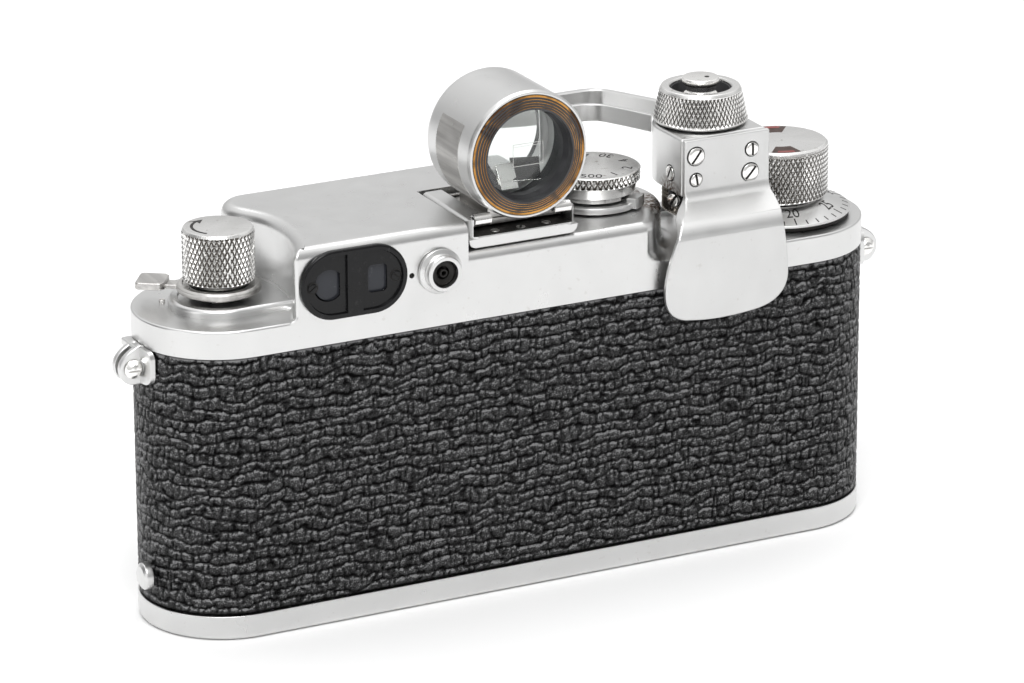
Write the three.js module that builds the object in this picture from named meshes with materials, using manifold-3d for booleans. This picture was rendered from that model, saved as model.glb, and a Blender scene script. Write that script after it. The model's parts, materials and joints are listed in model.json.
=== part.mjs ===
// A 35 mm rangefinder camera with a clip-on round viewfinder and a release grip, in millimetres.
// The origin is the centre of the base plate's underside. +X is the holder's right, +Y points
// from the camera to its subject and +Z is up, so the eyepieces face -Y.
import * as THREE from 'three';
import { mergeVertices } from 'three/addons/utils/BufferGeometryUtils.js';
import Module from 'manifold-3d';

// ---- driving dimensions -------------------------------------------------------------------
const LENGTH = 136;           // body, end to end
const DEPTH = 29.7;           // body, rear face to front face; the ends are half circles
const GAP = 0.3;              // clearance between neighbouring pieces
const BASE_TOP = 4.3;         // base plate's rim, where the covering starts
const COVERING_TOP = 49.9;    // where the top cover starts
const DECK = 54.7;            // low deck of the top cover, under both knobs
const SHOE_DECK = 61.9;       // middle deck, under the shoe and the speed dial
const HOUSING_TOP = 67;       // rangefinder housing
const HOUSING_FRONT = 18.5;   // housing's front face, flush with the lens flange
const SHEET = 1;              // thickness of the top cover's metal
const COVERING = 0.6;         // thickness of the leather covering

const END_R = DEPTH / 2;
const END_X = LENGTH / 2 - END_R;
const REAR = -END_R;
const REWIND_X = -END_X;
const WIND_X = 53.4;
const SPEED_X = 16.9;
const RELEASE_X = 37.8;
const LENS = { x: -2.8, z: 27.5 };
const GATE = { width: 36, height: 24 };
const FINDER = { x: -2.7, z: 77.2, r: 10.75, rear: -14.5, front: 2 };
const SHOE = {
  left: -13.6, right: 6.9, rear: -13.9, front: 4.1, slotLow: 64.05, floor: 64.2, slotHigh: 66.2,
};
const GRIP = { x: 37.75, r: 8.25, rear: -8.6, low: 63.3, high: 73.6 };
const PLATE = { sheet: 1, rear: -17.4, low: 43.8 };
const LUG = { x: 71, y: -3, z: 46.5 };
const EYEPIECE = { x: -35.5, z: 60.3, width: 19.4, height: 12 };

const wasm = await Module();
wasm.setup();

// ---- solids: closed meshes that can be joined and cut -------------------------------------
function solidOf(geometry) {
  const bare = geometry.clone();
  bare.deleteAttribute('normal');
  bare.deleteAttribute('uv');
  const merged = mergeVertices(bare, 1e-4);
  const at = merged.attributes.position;
  const corner = [0, 1, 2].map(() => new THREE.Vector3());
  const triangles = [];
  let volume = 0;
  for (let i = 0; i < merged.index.count; i += 3) {
    const ids = [0, 1, 2].map((k) => merged.index.getX(i + k));
    if (ids[0] === ids[1] || ids[1] === ids[2] || ids[0] === ids[2]) continue;
    ids.forEach((id, k) => corner[k].fromBufferAttribute(at, id));
    volume += corner[0].dot(corner[1].clone().cross(corner[2]));
    triangles.push(ids);
  }
  const facing = volume < 0 ? triangles.map(([a, b, c]) => [a, c, b]) : triangles;
  return new wasm.Manifold(new wasm.Mesh({
    numProp: 3,
    vertProperties: new Float32Array(at.array),
    triVerts: new Uint32Array(facing.flat()),
  }));
}

function geometryOf(solid) {
  const mesh = solid.getMesh();
  const geometry = new THREE.BufferGeometry();
  geometry.setAttribute('position', new THREE.BufferAttribute(mesh.vertProperties, 3));
  geometry.setIndex(new THREE.BufferAttribute(mesh.triVerts, 1));
  geometry.computeVertexNormals();
  return geometry;
}

const join = (...solids) => solids.reduce((a, b) => a.add(b));
const cut = (solid, ...tools) => tools.reduce((a, b) => a.subtract(b), solid);

function box(low, high) {
  const size = high.map((value, k) => value - low[k]);
  const geometry = new THREE.BoxGeometry(...size);
  return solidOf(geometry.translate(...low.map((value, k) => value + size[k] / 2)));
}

// A profile of [radius, height] points turned about +Z; a ring's profile closes on itself.
function turned(profile, x = 0, y = 0, sides = 20) {
  const points = profile.map(([r, z]) => new THREE.Vector2(r, z));
  if (profile[0][0] > 0) points.push(points[0].clone());
  return solidOf(new THREE.LatheGeometry(points, sides).rotateX(Math.PI / 2).translate(x, y, 0));
}

// The same about an axis along +Y, with [radius, y] points.
function turnedAlongY(profile, x, z, sides = 20) {
  const points = profile.map(([r, y]) => new THREE.Vector2(r, y));
  if (profile[0][0] > 0) points.push(points[0].clone());
  return solidOf(new THREE.LatheGeometry(points, sides).translate(x, 0, z));
}

const rod = (r, low, high, x = 0, y = 0, sides = 16) =>
  turned([[0, low], [r, low], [r, high], [0, high]], x, y, sides);
const tube = (outer, inner, low, high, x = 0, y = 0, sides = 20) =>
  turned([[inner, low], [outer, low], [outer, high], [inner, high]], x, y, sides);
const rodAlongY = (r, low, high, x, z, sides = 16) =>
  turnedAlongY([[0, low], [r, low], [r, high], [0, high]], x, z, sides);

// A plan outline raised from low to high; edge rounds both rims, inside the outline.
function raised(outline, low, high, edge = 0, curveSegments = 6) {
  const geometry = new THREE.ExtrudeGeometry(outline, {
    depth: high - low - 2 * edge,
    bevelEnabled: edge > 0,
    bevelThickness: edge,
    bevelSize: edge,
    bevelOffset: -edge,
    bevelSegments: 2,
    curveSegments,
  });
  return solidOf(geometry.translate(0, 0, low + edge));
}

// An outline drawn in x and z, with its thickness from y = rear to y = front.
function raisedAlongY(outline, rear, front, curveSegments = 5) {
  const geometry = new THREE.ExtrudeGeometry(outline, {
    depth: front - rear, bevelEnabled: false, curveSegments,
  });
  return solidOf(geometry.rotateX(Math.PI / 2).translate(0, front, 0));
}

// ---- outlines -----------------------------------------------------------------------------
function outlineOf(points) {
  return new THREE.Shape(points.map(([x, y]) => new THREE.Vector2(x, y)));
}

// A slot with half-circle ends, centred on (x, y).
function slotOutline(width, height, x = 0, y = 0) {
  const r = height / 2;
  const half = width / 2 - r;
  const shape = new THREE.Shape();
  shape.moveTo(x - half, y - r);
  shape.lineTo(x + half, y - r);
  shape.absarc(x + half, y, r, -Math.PI / 2, Math.PI / 2, false);
  shape.lineTo(x - half, y + r);
  shape.absarc(x - half, y, r, Math.PI / 2, 1.5 * Math.PI, false);
  return shape;
}

const bodyOutline = (inset = 0) => slotOutline(LENGTH - 2 * inset, DEPTH - 2 * inset);

// The high housing: its left side bows in round the rewind knob and it wraps the shoe's front.
function housingOutline(inset = 0) {
  const rear = REAR + inset;
  const front = HOUSING_FRONT - inset;
  const shape = new THREE.Shape();
  shape.moveTo(-45.4 + inset, rear);
  shape.lineTo(-14.2 - inset, rear);
  shape.lineTo(-14.2 - inset, 4.9 + inset);
  shape.lineTo(8.2 - inset, 4.9 + inset);
  shape.lineTo(8.2 - inset, front);
  shape.lineTo(-41 + inset / 2, front);
  shape.bezierCurveTo(-44 + inset / 2, front, -46.4 + inset, 16 - inset, -46.3 + inset, 13);
  shape.bezierCurveTo(-46.3 + inset, 9, -42.3 + inset, 8, -42.3 + inset, 0);
  shape.quadraticCurveTo(-42.3 + inset, -8, -45.4 + inset, rear);
  return shape;
}

// The middle deck: a straight back and a round right end about the speed dial.
function shoeDeckOutline(inset = 0) {
  const centre = { x: 17.2, y: 1.4 };
  const r = 12.1 - inset;
  const front = HOUSING_FRONT - inset;
  const rear = REAR + inset;
  const shape = new THREE.Shape();
  shape.moveTo(-15 - inset, rear);
  shape.lineTo(19.4 - inset / 2, rear);
  const turn = 0.9;
  const arcStart = [centre.x + r * Math.cos(turn), centre.y - r * Math.sin(turn)];
  shape.quadraticCurveTo(22.6 - inset, -13.8 + inset, ...arcStart);
  shape.absarc(centre.x, centre.y, r, -turn, turn, false);
  shape.quadraticCurveTo(22 - inset, front, 17.5 - inset, front);
  shape.lineTo(-15 - inset, front);
  return shape;
}

// ---- materials and the scene graph --------------------------------------------------------
const FINISHES = {
  satinChrome: { color: 0xc9c9c7, roughness: 0.36, metalness: 1 },
  brightChrome: { color: 0xdedcd8, roughness: 0.18, metalness: 1 },
  blackEnamel: { color: 0x121212, roughness: 0.35, metalness: 0 },
  leather: { color: 0x1b1b1c, roughness: 0.62, metalness: 0 },
  brass: { color: 0xa9803f, roughness: 0.34, metalness: 1 },
  glass: { color: 0xdfe8ea, roughness: 0.03, metalness: 0, transparent: true, opacity: 0.35 },
  steel: { color: 0x9a9a98, roughness: 0.4, metalness: 1 },
  darkAlloy: { color: 0x4b4b4d, roughness: 0.55, metalness: 1 },
  cloth: { color: 0x0d0d0d, roughness: 0.9, metalness: 0 },
};

const camera = new THREE.Group();

function add(name, solid, finish) {
  const mesh = new THREE.Mesh(geometryOf(solid), new THREE.MeshStandardMaterial(FINISHES[finish]));
  mesh.name = name;
  camera.add(mesh);
}

// ---- body ---------------------------------------------------------------------------------
const DIAL_SHAFT = { x: 30.5, z: 35 };   // slow-speed dial on the front

function bodyShell() {
  const wall = COVERING + GAP;
  const low = BASE_TOP + GAP;
  const high = COVERING_TOP - GAP;
  const ring = cut(
    raised(bodyOutline(wall), low, high),
    raised(bodyOutline(wall + 1.2), low - 1, high + 1),
  );
  return cut(
    ring,
    rodAlongY(19.3, 5, 20, LENS.x, LENS.z, 28),
    rodAlongY(2.7, 5, 20, DIAL_SHAFT.x, DIAL_SHAFT.z),
  );
}

function leatherCover() {
  const low = BASE_TOP + 0.2;
  const high = COVERING_TOP - 0.2;
  const ring = cut(
    raised(bodyOutline(0.1), low, high, 0, 8),
    raised(bodyOutline(0.1 + COVERING), low - 1, high + 1, 0, 8),
  );
  return cut(
    ring,
    rodAlongY(22.6, 5, 20, LENS.x, LENS.z, 28),
    rodAlongY(2.7, 5, 20, DIAL_SHAFT.x, DIAL_SHAFT.z),
  );
}

function topCover() {
  const rim = raised(bodyOutline(), COVERING_TOP - 3, DECK, 0.7);
  const housing = raised(housingOutline(), COVERING_TOP - 4, HOUSING_TOP, 1.6, 4);
  const shoeDeck = raised(shoeDeckOutline(), COVERING_TOP - 4, SHOE_DECK, 1.6, 4);
  const plateau = join(
    rod(8.6, DECK - 1, DECK + 1.5, REWIND_X, 0, 24),
    box([REWIND_X, -8.6, DECK - 1], [-43.5, 8.6, DECK + 1.5]),
  );
  const releaseBoss = rod(3, DECK - 1, DECK + 1.7, RELEASE_X);
  const outside = cut(
    join(rim, housing, shoeDeck, plateau, releaseBoss),
    box([-100, -40, 30], [100, 40, COVERING_TOP]),
  );
  const hollow = join(
    raised(bodyOutline(SHEET), COVERING_TOP - 1, DECK - SHEET),
    raised(housingOutline(SHEET + 0.4), COVERING_TOP + SHEET, HOUSING_TOP - SHEET, 0, 3),
    raised(shoeDeckOutline(SHEET + 0.4), COVERING_TOP + SHEET, SHOE_DECK - SHEET, 0, 3),
  );
  const shaftHoles = [[REWIND_X, 2.9], [WIND_X, 2.9], [SPEED_X, 2.9], [RELEASE_X, 2.4]]
    .map(([x, r]) => rod(r, 45, 70, x));
  const rearHoles = [
    raisedAlongY(slotOutline(15, 7.4, EYEPIECE.x, EYEPIECE.z), REAR - 1, REAR + 3),
    rodAlongY(2.9, REAR - 1, REAR + 3, -19.7, 59.7),
  ];
  const frontHoles = [
    rodAlongY(3.6, HOUSING_FRONT - 3, HOUSING_FRONT + 1, -37, 60),
    rodAlongY(3.6, HOUSING_FRONT - 3, HOUSING_FRONT + 1, 2, 60),
    box([-28.5, HOUSING_FRONT - 3, 56.5], [-19.5, HOUSING_FRONT + 1, 63.5]),
  ];
  return cut(outside, hollow, ...shaftHoles, ...rearHoles, ...frontHoles);
}

add('body_shell', bodyShell(), 'darkAlloy');
add('leather_cover', leatherCover(), 'leather');
add('top_cover', topCover(), 'satinChrome');

// ---- base plate and its lock --------------------------------------------------------------
const KEY = { x: 45, r: 8.2 };
const BUSH = { x: -45, r: 6 };

function basePlate() {
  const tray = cut(
    cut(raised(bodyOutline(), 0, BASE_TOP + 4, 0.8), box([-100, -40, BASE_TOP], [100, 40, 20])),
    raised(bodyOutline(1), 1.4, BASE_TOP + 5),
  );
  const lightTrap = cut(
    raised(bodyOutline(2.5), 1, 7),
    raised(bodyOutline(3.4), 0.9, 8),
  );
  return cut(
    join(tray, lightTrap),
    rod(KEY.r + GAP, 0.5 - 1, 3, KEY.x, 0, 20),
    rod(BUSH.r + GAP, -1, 3, BUSH.x, 0, 20),
  );
}

function baseKey() {
  const disc = rod(KEY.r, 0.25, 1.2, KEY.x, 0, 20);
  const cam = join(rod(2.6, 1, 3.4, KEY.x), box([KEY.x - 8, -1.6, 2.4], [KEY.x, 1.6, 3.4]));
  const bailRecess = cut(
    rod(6.6, 0, 0.6, KEY.x, 0, 18),
    box([KEY.x - 0.9, -7, -1], [KEY.x + 9, 7, 1]),
    rod(4.6, -1, 1, KEY.x),
  );
  return cut(join(disc, cam), bailRecess);
}

const tripodBush = () => cut(
  join(rod(BUSH.r, 0.25, 1.2, BUSH.x, 0, 20), rod(BUSH.r - 1, 1, 6.5, BUSH.x)),
  rod(3.1, -1, 5.6, BUSH.x),
);

add('base_plate', basePlate(), 'satinChrome');
add('base_key', baseKey(), 'brightChrome');
add('tripod_bush', tripodBush(), 'brass');

function baseStud() {
  const geometry = new THREE.LatheGeometry(
    [[0, 0], [1.5, 0], [1.5, 0.35], [2.3, 0.35], [2.3, 1.5], [1.7, 1.9], [0, 2]]
      .map(([r, h]) => new THREE.Vector2(r, h)), 24);
  return solidOf(geometry.rotateZ(Math.PI / 2).translate(-68.1, LUG.y, 9.8));
}
add('base_stud', baseStud(), 'satinChrome');

// ---- strap lugs: a clevis at each end, closed by a slotted pin -----------------------------
function strapLug(side) {
  const ear = new THREE.Shape();
  ear.moveTo(-2.6, 2.2);
  ear.quadraticCurveTo(-1.6, -1.6, -2.6 + 0.9, -2.9);
  ear.lineTo(0.6, -2.8);
  ear.quadraticCurveTo(2.6, -2.2, 2.6, 0.2);
  ear.quadraticCurveTo(2.3, 2.6, -1.2, 3.9);
  ear.lineTo(-2.2, 3.6);
  const ears = [[-1.9, -0.7], [3.1, 4.3]].map(([rear, front]) => raisedAlongY(ear, rear, front, 5));
  const bridge = box([-2.9, -1.9, 2.4], [-1, 4.3, 4.4]);
  const foot = box([-2.75, -1.9, -2.4], [-1.9, 4.3, 3.2]);
  const lug = cut(join(...ears, bridge, foot), rodAlongY(1.2, -5, 8, 0.2, 0));
  const turnedLug = side > 0 ? lug : lug.mirror([1, 0, 0]);
  return turnedLug.translate([side * LUG.x, LUG.y, LUG.z]);
}

function lugPin(side) {
  const pin = turnedAlongY(
    [[0, -3.1], [0.9, -2.95], [1.65, -2.2], [1.65, -2.05], [0.95, -2.05], [0.95, 4.5], [0, 4.5]],
    0.2, 0, 12);
  const slotted = cut(pin, box([-2, -4, -0.25], [2.4, -2.6, 0.25]));
  const turnedPin = side > 0 ? slotted : slotted.mirror([1, 0, 0]);
  return turnedPin.translate([side * LUG.x, LUG.y, LUG.z]);
}

for (const [name, side] of [['left', -1], ['right', 1]]) {
  add(`strap_lug_${name}`, strapLug(side), 'satinChrome');
  add(`lug_pin_${name}`, lugPin(side), 'brightChrome');
}

// ---- rear of the housing: eyepieces and flash socket ---------------------------------------
function eyepiecePlate() {
  const face = REAR - 1;
  const plate = slotOutline(EYEPIECE.width, EYEPIECE.height, EYEPIECE.x, EYEPIECE.z);
  return cut(
    raisedAlongY(plate, face, REAR - GAP / 2, 10),
    rodAlongY(3.1, face - 1, REAR + 1, EYEPIECE.x - 4.3, EYEPIECE.z),
    raisedAlongY(slotOutline(5, 4.6, EYEPIECE.x + 4.1, EYEPIECE.z), face - 1, REAR + 1, 5),
  );
}

add('eyepiece_plate', eyepiecePlate(), 'blackEnamel');
add('viewfinder_eyepiece', rodAlongY(2.9, REAR + 0.1, REAR + 2.4, EYEPIECE.x - 4.1, EYEPIECE.z), 'glass');
add('rangefinder_eyepiece', rodAlongY(2.9, REAR + 0.1, REAR + 2.4, EYEPIECE.x + 4.1, EYEPIECE.z), 'glass');

const SOCKET = { x: -19.7, z: 59.7 };
add('flash_socket', turnedAlongY([
  [2.35, -17.4], [3, -17.4], [3.15, -17.1], [3.15, -15.9], [3.9, -15.6],
  [3.9, REAR - 0.1], [2.75, REAR - 0.1], [2.75, REAR + 2.4], [2.35, REAR + 2.4],
], SOCKET.x, SOCKET.z, 16), 'satinChrome');

// ---- front of the housing: three windows and the rangefinder behind them --------------------
for (const [name, x] of [['outer', -37], ['inner', 2]]) {
  add(`rangefinder_window_${name}`, turnedAlongY([
    [0, HOUSING_FRONT - 2.4], [3.4, HOUSING_FRONT - 2.4], [3.4, HOUSING_FRONT + 0.1],
    [4.2, HOUSING_FRONT + 0.1], [4.2, HOUSING_FRONT + 0.8], [3.1, HOUSING_FRONT + 0.8],
    [3.1, HOUSING_FRONT - 1], [0, HOUSING_FRONT - 1],
  ], x, 60, 24), 'glass');
}
add('viewfinder_window', box([-28.2, HOUSING_FRONT - 2, 56.8], [-19.8, HOUSING_FRONT + 0.2, 63.2]), 'glass');
add('rangefinder_prism', box([-40, 3, 57.2], [-34, 9, 63]), 'glass');

const ARM = { x: -9, y: -3 };
add('rangefinder_arm', join(
  rod(2, 51.2, 56, ARM.x, ARM.y),
  box([ARM.x - 1, ARM.y, 51.2], [ARM.x + 1, 12.4, 52.6]),
  box([-30, ARM.y - 0.8, 54.4], [ARM.x, ARM.y + 0.8, 56]),
), 'steel');

// ---- accessory shoe -------------------------------------------------------------------------
const shoeOutline = outlineOf([
  [SHOE.left, SHOE_DECK + 0.15], [SHOE.right, SHOE_DECK + 0.15], [SHOE.right, HOUSING_TOP],
  [SHOE.right - 3.8, HOUSING_TOP], [SHOE.right - 3.8, SHOE.slotHigh], [SHOE.right - 1, SHOE.slotHigh],
  [SHOE.right - 1, SHOE.slotLow], [SHOE.right - 4, SHOE.slotLow], [SHOE.right - 4, SHOE.floor],
  [SHOE.left + 4, SHOE.floor], [SHOE.left + 4, SHOE.slotLow], [SHOE.left + 1, SHOE.slotLow],
  [SHOE.left + 1, SHOE.slotHigh],
  [SHOE.left + 3.8, SHOE.slotHigh], [SHOE.left + 3.8, HOUSING_TOP], [SHOE.left, HOUSING_TOP],
]);
add('accessory_shoe', raisedAlongY(shoeOutline, SHOE.rear, SHOE.front), 'satinChrome');

const LEAF = { low: SHOE.slotHigh - 0.35, high: SHOE.slotHigh - 0.1 };
add('shoe_spring', join(
  box([SHOE.left + 1.1, SHOE.rear - 0.3, LEAF.low], [SHOE.left + 3.4, SHOE.front - 0.2, LEAF.high]),
  box([SHOE.right - 3.4, SHOE.rear - 0.3, LEAF.low], [SHOE.right - 1.1, SHOE.front - 0.2, LEAF.high]),
  box([SHOE.left + 1.1, SHOE.front - 1, LEAF.low], [SHOE.right - 1.1, SHOE.front - 0.2, LEAF.high]),
), 'steel');

// ---- clip-on viewfinder: slides out of the shoe to the rear ---------------------------------
const onFinder = (profile, sides = 24) => turnedAlongY(profile, FINDER.x, FINDER.z, sides);
add('finder_barrel', onFinder([
  [9.4, FINDER.rear + 0.35], [9.8, FINDER.rear], [10.4, FINDER.rear], [FINDER.r, FINDER.rear + 0.4],
  [FINDER.r, FINDER.front - 0.4], [10.4, FINDER.front], [9.8, FINDER.front], [9.4, FINDER.front - 0.4],
]), 'satinChrome');
add('finder_eye_ring', onFinder([
  [9.1, FINDER.rear + 0.2], [9.1, -11], [7.4, -11], [7.4, -12.6], [8, -12.6], [8, -13.2],
  [8.5, -13.2], [8.5, FINDER.rear + 0.2],
]), 'brass');
add('finder_eye_glass', onFinder([[0, -10.7], [8.9, -10.7], [8.9, -9.4], [5, -9.1], [0, -8.9]], 16), 'glass');
add('finder_front_glass', onFinder([[0, -2.2], [8.9, -2.2], [8.9, -1], [0, -1.8]], 16), 'glass');
add('finder_foot', cut(
  join(
    box([SHOE.left + 1.3, SHOE.rear + 0.2, SHOE.floor + 0.2], [SHOE.right - 1.3, 3.2, SHOE.floor + 1.45]),
    box([FINDER.x - 5.4, -12, SHOE.floor + 1], [FINDER.x + 5.4, 1, 70]),
  ),
  rodAlongY(FINDER.r + 0.12, -30, 30, FINDER.x, FINDER.z, 28),
), 'darkAlloy');

// ---- rewind side: knob with its shaft, dioptre lever, film cassette --------------------------
add('rewind_knob', turned([
  [0, 44.4], [2.2, 44.4], [2.2, 58], [4.6, 58], [4.6, 58.9], [5.8, 58.9], [6.1, 59.3], [6.1, 67.6],
  [5.5, 68.2], [0, 68.2],
], REWIND_X), 'satinChrome');

function dioptreLever() {
  const reach = 12.6;
  const angle = 2.54;
  const arm = box([0, -1.4, 56.5], [reach, 1.4, 57.5]);
  const tab = box([reach - 0.6, -2.1, 56.5], [reach + 1, 2.1, 58]);
  const lever = join(arm, tab).rotate([0, 0, THREE.MathUtils.radToDeg(angle)]).translate([REWIND_X, 0, 0]);
  return cut(join(tube(7.1, 2.5, 56.5, 57.7, REWIND_X), lever), rod(2.5, 50, 60, REWIND_X));
}
add('dioptre_lever', dioptreLever(), 'satinChrome');

const CHAMBER = { low: 8, high: 47.6 };
add('film_cassette', cut(
  join(rod(12.1, CHAMBER.low, CHAMBER.high, REWIND_X, 0, 16), box([REWIND_X, -12, 10], [-37.6, -10.2, 46])),
  rod(11.4, CHAMBER.low + 1, CHAMBER.high - 1, REWIND_X, 0, 16),
  rod(3.4, CHAMBER.low - 1, CHAMBER.high + 1, REWIND_X),
  box([-48, -11.4, 11], [-37, -10.8, 45]),
), 'darkAlloy');
add('cassette_spool', cut(
  join(
    rod(10.9, CHAMBER.low + 1.4, CHAMBER.low + 2.4, REWIND_X, 0, 12),
    rod(10.9, CHAMBER.high - 2.8, CHAMBER.high - 1.8, REWIND_X, 0, 12),
    rod(5, CHAMBER.low + 1.4, CHAMBER.high - 1.8, REWIND_X),
    rod(3, CHAMBER.low + 0.2, CHAMBER.high - 0.4, REWIND_X),
  ),
  rod(2.4, 40, 50, REWIND_X),
), 'darkAlloy');

// ---- wind side: knob, frame counter, take-up spool, sprocket --------------------------------
add('wind_knob', turned([
  [0, 46.4], [2.4, 46.4], [2.4, 56.5], [6.4, 56.5], [6.4, 58.5], [8.4, 58.5], [8.7, 58.9], [8.7, 67.4],
  [8.2, 67.9], [0, 67.9],
], WIND_X, 0, 24), 'satinChrome');
add('counter_dial', turned([
  [2.7, 55], [12.4, 55], [12.6, 55.2], [12.6, 56], [12.4, 56.2], [2.7, 56.2],
], WIND_X, 0, 28), 'satinChrome');
add('takeup_spool', cut(
  join(
    rod(10.4, CHAMBER.low, CHAMBER.low + 1, WIND_X, 0, 12),
    rod(10.4, 44, 45, WIND_X, 0, 12),
    rod(5.6, CHAMBER.low, 46.1, WIND_X),
  ),
  box([WIND_X - 6, -0.5, 14], [WIND_X, 0.5, 39]),
), 'darkAlloy');

const SPROCKET_TEETH = 8;
function sprocketShaft() {
  const shaft = rod(2, 8.4, 46.4, RELEASE_X, 0, 10);
  const drums = [[13, 17], [36, 40]].map(([low, high]) => rod(3.6, low, high, RELEASE_X, 0, 16));
  const tooth = (k, z) => box([3, -0.5, z - 0.6], [4.4, 0.5, z + 0.6])
    .rotate([0, 0, (360 * k) / SPROCKET_TEETH]).translate([RELEASE_X, 0, 0]);
  const teeth = [15, 38].flatMap((z) => Array.from({ length: SPROCKET_TEETH }, (_, k) => tooth(k, z)));
  return join(shaft, ...drums, ...teeth);
}
add('sprocket_shaft', sprocketShaft(), 'steel');

// ---- shutter crate ---------------------------------------------------------------------------
const CRATE = { left: -37, right: 32, rear: -9.6, front: 9, low: 9.5, high: 48.3 };
const DRUM = { x: 24.4, r: 5.6 };
const ROLLER = { x: -30.6, r: 3 };
function shutterCrate() {
  const wall = 1.2;
  const gate = { left: LENS.x - GATE.width / 2, low: LENS.z - GATE.height / 2 };
  return cut(
    box([CRATE.left, CRATE.rear, CRATE.low], [CRATE.right, CRATE.front, CRATE.high]),
    box(
      [CRATE.left + wall, CRATE.rear + wall, CRATE.low + wall],
      [CRATE.right - wall, CRATE.front + 1, CRATE.high - wall],
    ),
    box([gate.left, -12, gate.low], [gate.left + GATE.width, -5, gate.low + GATE.height]),
  );
}
add('shutter_crate', shutterCrate(), 'darkAlloy');
add('curtain_drum', join(
  rod(DRUM.r, 12, 45, DRUM.x, 0, 16),
  rod(1.4, 11, 46.8, DRUM.x),
), 'brass');
add('spring_roller', join(rod(ROLLER.r, 12, 45, ROLLER.x), rod(1.2, 11, 46.8, ROLLER.x)), 'steel');
add('shutter_curtain', box([-28.5, -7.4, 13], [21.5, -7.05, 44]), 'cloth');
add('pressure_plate', box([-24, -12, 12.5], [18.5, -10.9, 42.5]), 'blackEnamel');

// ---- speed dial and contact-setting lever ------------------------------------------------------
add('speed_dial', turned([
  [0, 55], [2.4, 55], [2.4, 63.6], [6.6, 63.6], [6.6, 64.4], [7.3, 64.5], [7.7, 66.4], [8.2, 66.5],
  [8.2, 68], [7.7, 68.5], [0, 68.5],
], SPEED_X, 0, 22), 'satinChrome');

function syncLever() {
  const thumb = cut(
    box([7, -1.8, 62.2], [9, 1.8, 64.1]),
    tube(14, 8.9, 60, 70),
  ).rotate([0, 0, -50]);
  return join(tube(8.3, 2.7, 62.2, 63.3), thumb).translate([SPEED_X, 0, 0]);
}
add('sync_lever', syncLever(), 'satinChrome');

// ---- rewind clutch lever and slow-speed dial ---------------------------------------------------
const CLUTCH = { x: 30.4, y: 9.6 };
add('clutch_lever', join(
  rod(2.1, DECK + GAP, DECK + 2.2, CLUTCH.x, CLUTCH.y, 20),
  box([CLUTCH.x, CLUTCH.y - 1.2, DECK + GAP], [CLUTCH.x + 7, CLUTCH.y + 1.2, DECK + 1.3]),
  box([CLUTCH.x + 5.6, CLUTCH.y - 1.2, DECK + GAP], [CLUTCH.x + 7, CLUTCH.y + 1.2, DECK + 2.8]),
), 'satinChrome');
add('slow_speed_dial', turnedAlongY([
  [0, 12.4], [2.3, 12.4], [2.3, 15.2], [8, 15.2], [8, 16.6], [6.6, 16.9], [6.6, 18.9], [6.1, 19.3], [0, 19.3],
], DIAL_SHAFT.x, DIAL_SHAFT.z), 'satinChrome');

// ---- release, and the grip that screws onto its collar -------------------------------------------
add('release_button', turned([
  [0, 48.8], [3.4, 48.8], [3.4, 50], [2, 50], [2, 58.9], [0, 59.4],
], RELEASE_X, 0, 12), 'brightChrome');
add('lock_collar', turned([
  [3.4, 56.8], [6.1, 56.8], [6.6, 57.3], [6.6, 62.4], [6.2, 62.9], [3.4, 62.9],
], RELEASE_X, 0, 22), 'satinChrome');

function gripOutline(inset = 0) {
  const shape = new THREE.Shape();
  const r = GRIP.r - inset;
  shape.moveTo(GRIP.x - r, GRIP.rear + inset);
  shape.lineTo(GRIP.x + r, GRIP.rear + inset);
  shape.lineTo(GRIP.x + r, 0);
  shape.absarc(GRIP.x, 0, r, 0, Math.PI, false);
  return shape;
}
add('grip_block', cut(
  raised(gripOutline(), GRIP.low, GRIP.high, 0.5, 8),
  rod(4, 60, 80, RELEASE_X, 0, 20),
  rod(9.2, 60, 68.6, WIND_X, 0, 28),
), 'satinChrome');

function thumbPlate() {
  const high = GRIP.rear - 0.25;
  const drop = PLATE.rear + PLATE.sheet;
  const section = [
    [high, GRIP.high], [high - PLATE.sheet, GRIP.high], [high - PLATE.sheet, GRIP.low + 0.6],
    [PLATE.rear + 0.9, 60.6], [PLATE.rear, 59.4], [PLATE.rear, PLATE.low - 1],
    [drop, PLATE.low - 1], [drop, 59], [drop + 0.5, 59.8], [high, GRIP.low - 0.4],
  ];
  const outline = new THREE.Shape();
  outline.moveTo(GRIP.x - GRIP.r, GRIP.high + 1);
  outline.lineTo(GRIP.x - GRIP.r, GRIP.low + 0.4);
  outline.bezierCurveTo(28.6, 61.6, 25.4, 62, 24.6, 59.4);
  outline.bezierCurveTo(23.3, 56.4, 22, 53, 21.9, 49.6);
  outline.bezierCurveTo(21.9, 46, 23.6, 44.4, 27, 44.1);
  outline.bezierCurveTo(31, 43.5, 36, 43.7, 40, 44.3);
  outline.bezierCurveTo(43.6, 44.9, 45.9, 47, 45.8, 50.4);
  outline.bezierCurveTo(45.6, 54, 45.2, 57, 44.8, 59.2);
  outline.bezierCurveTo(44.6, 61, GRIP.x + GRIP.r, 61.6, GRIP.x + GRIP.r, GRIP.low + 0.4);
  outline.lineTo(GRIP.x + GRIP.r, GRIP.high + 1);
  const bent = new THREE.ExtrudeGeometry(outlineOf(section), { depth: 40, bevelEnabled: false });
  bent.rotateX(Math.PI / 2).rotateZ(Math.PI / 2).translate(15, 0, 0);
  return solidOf(bent).intersect(raisedAlongY(outline, -30, 0, 6));
}
add('thumb_plate', thumbPlate(), 'satinChrome');

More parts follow.
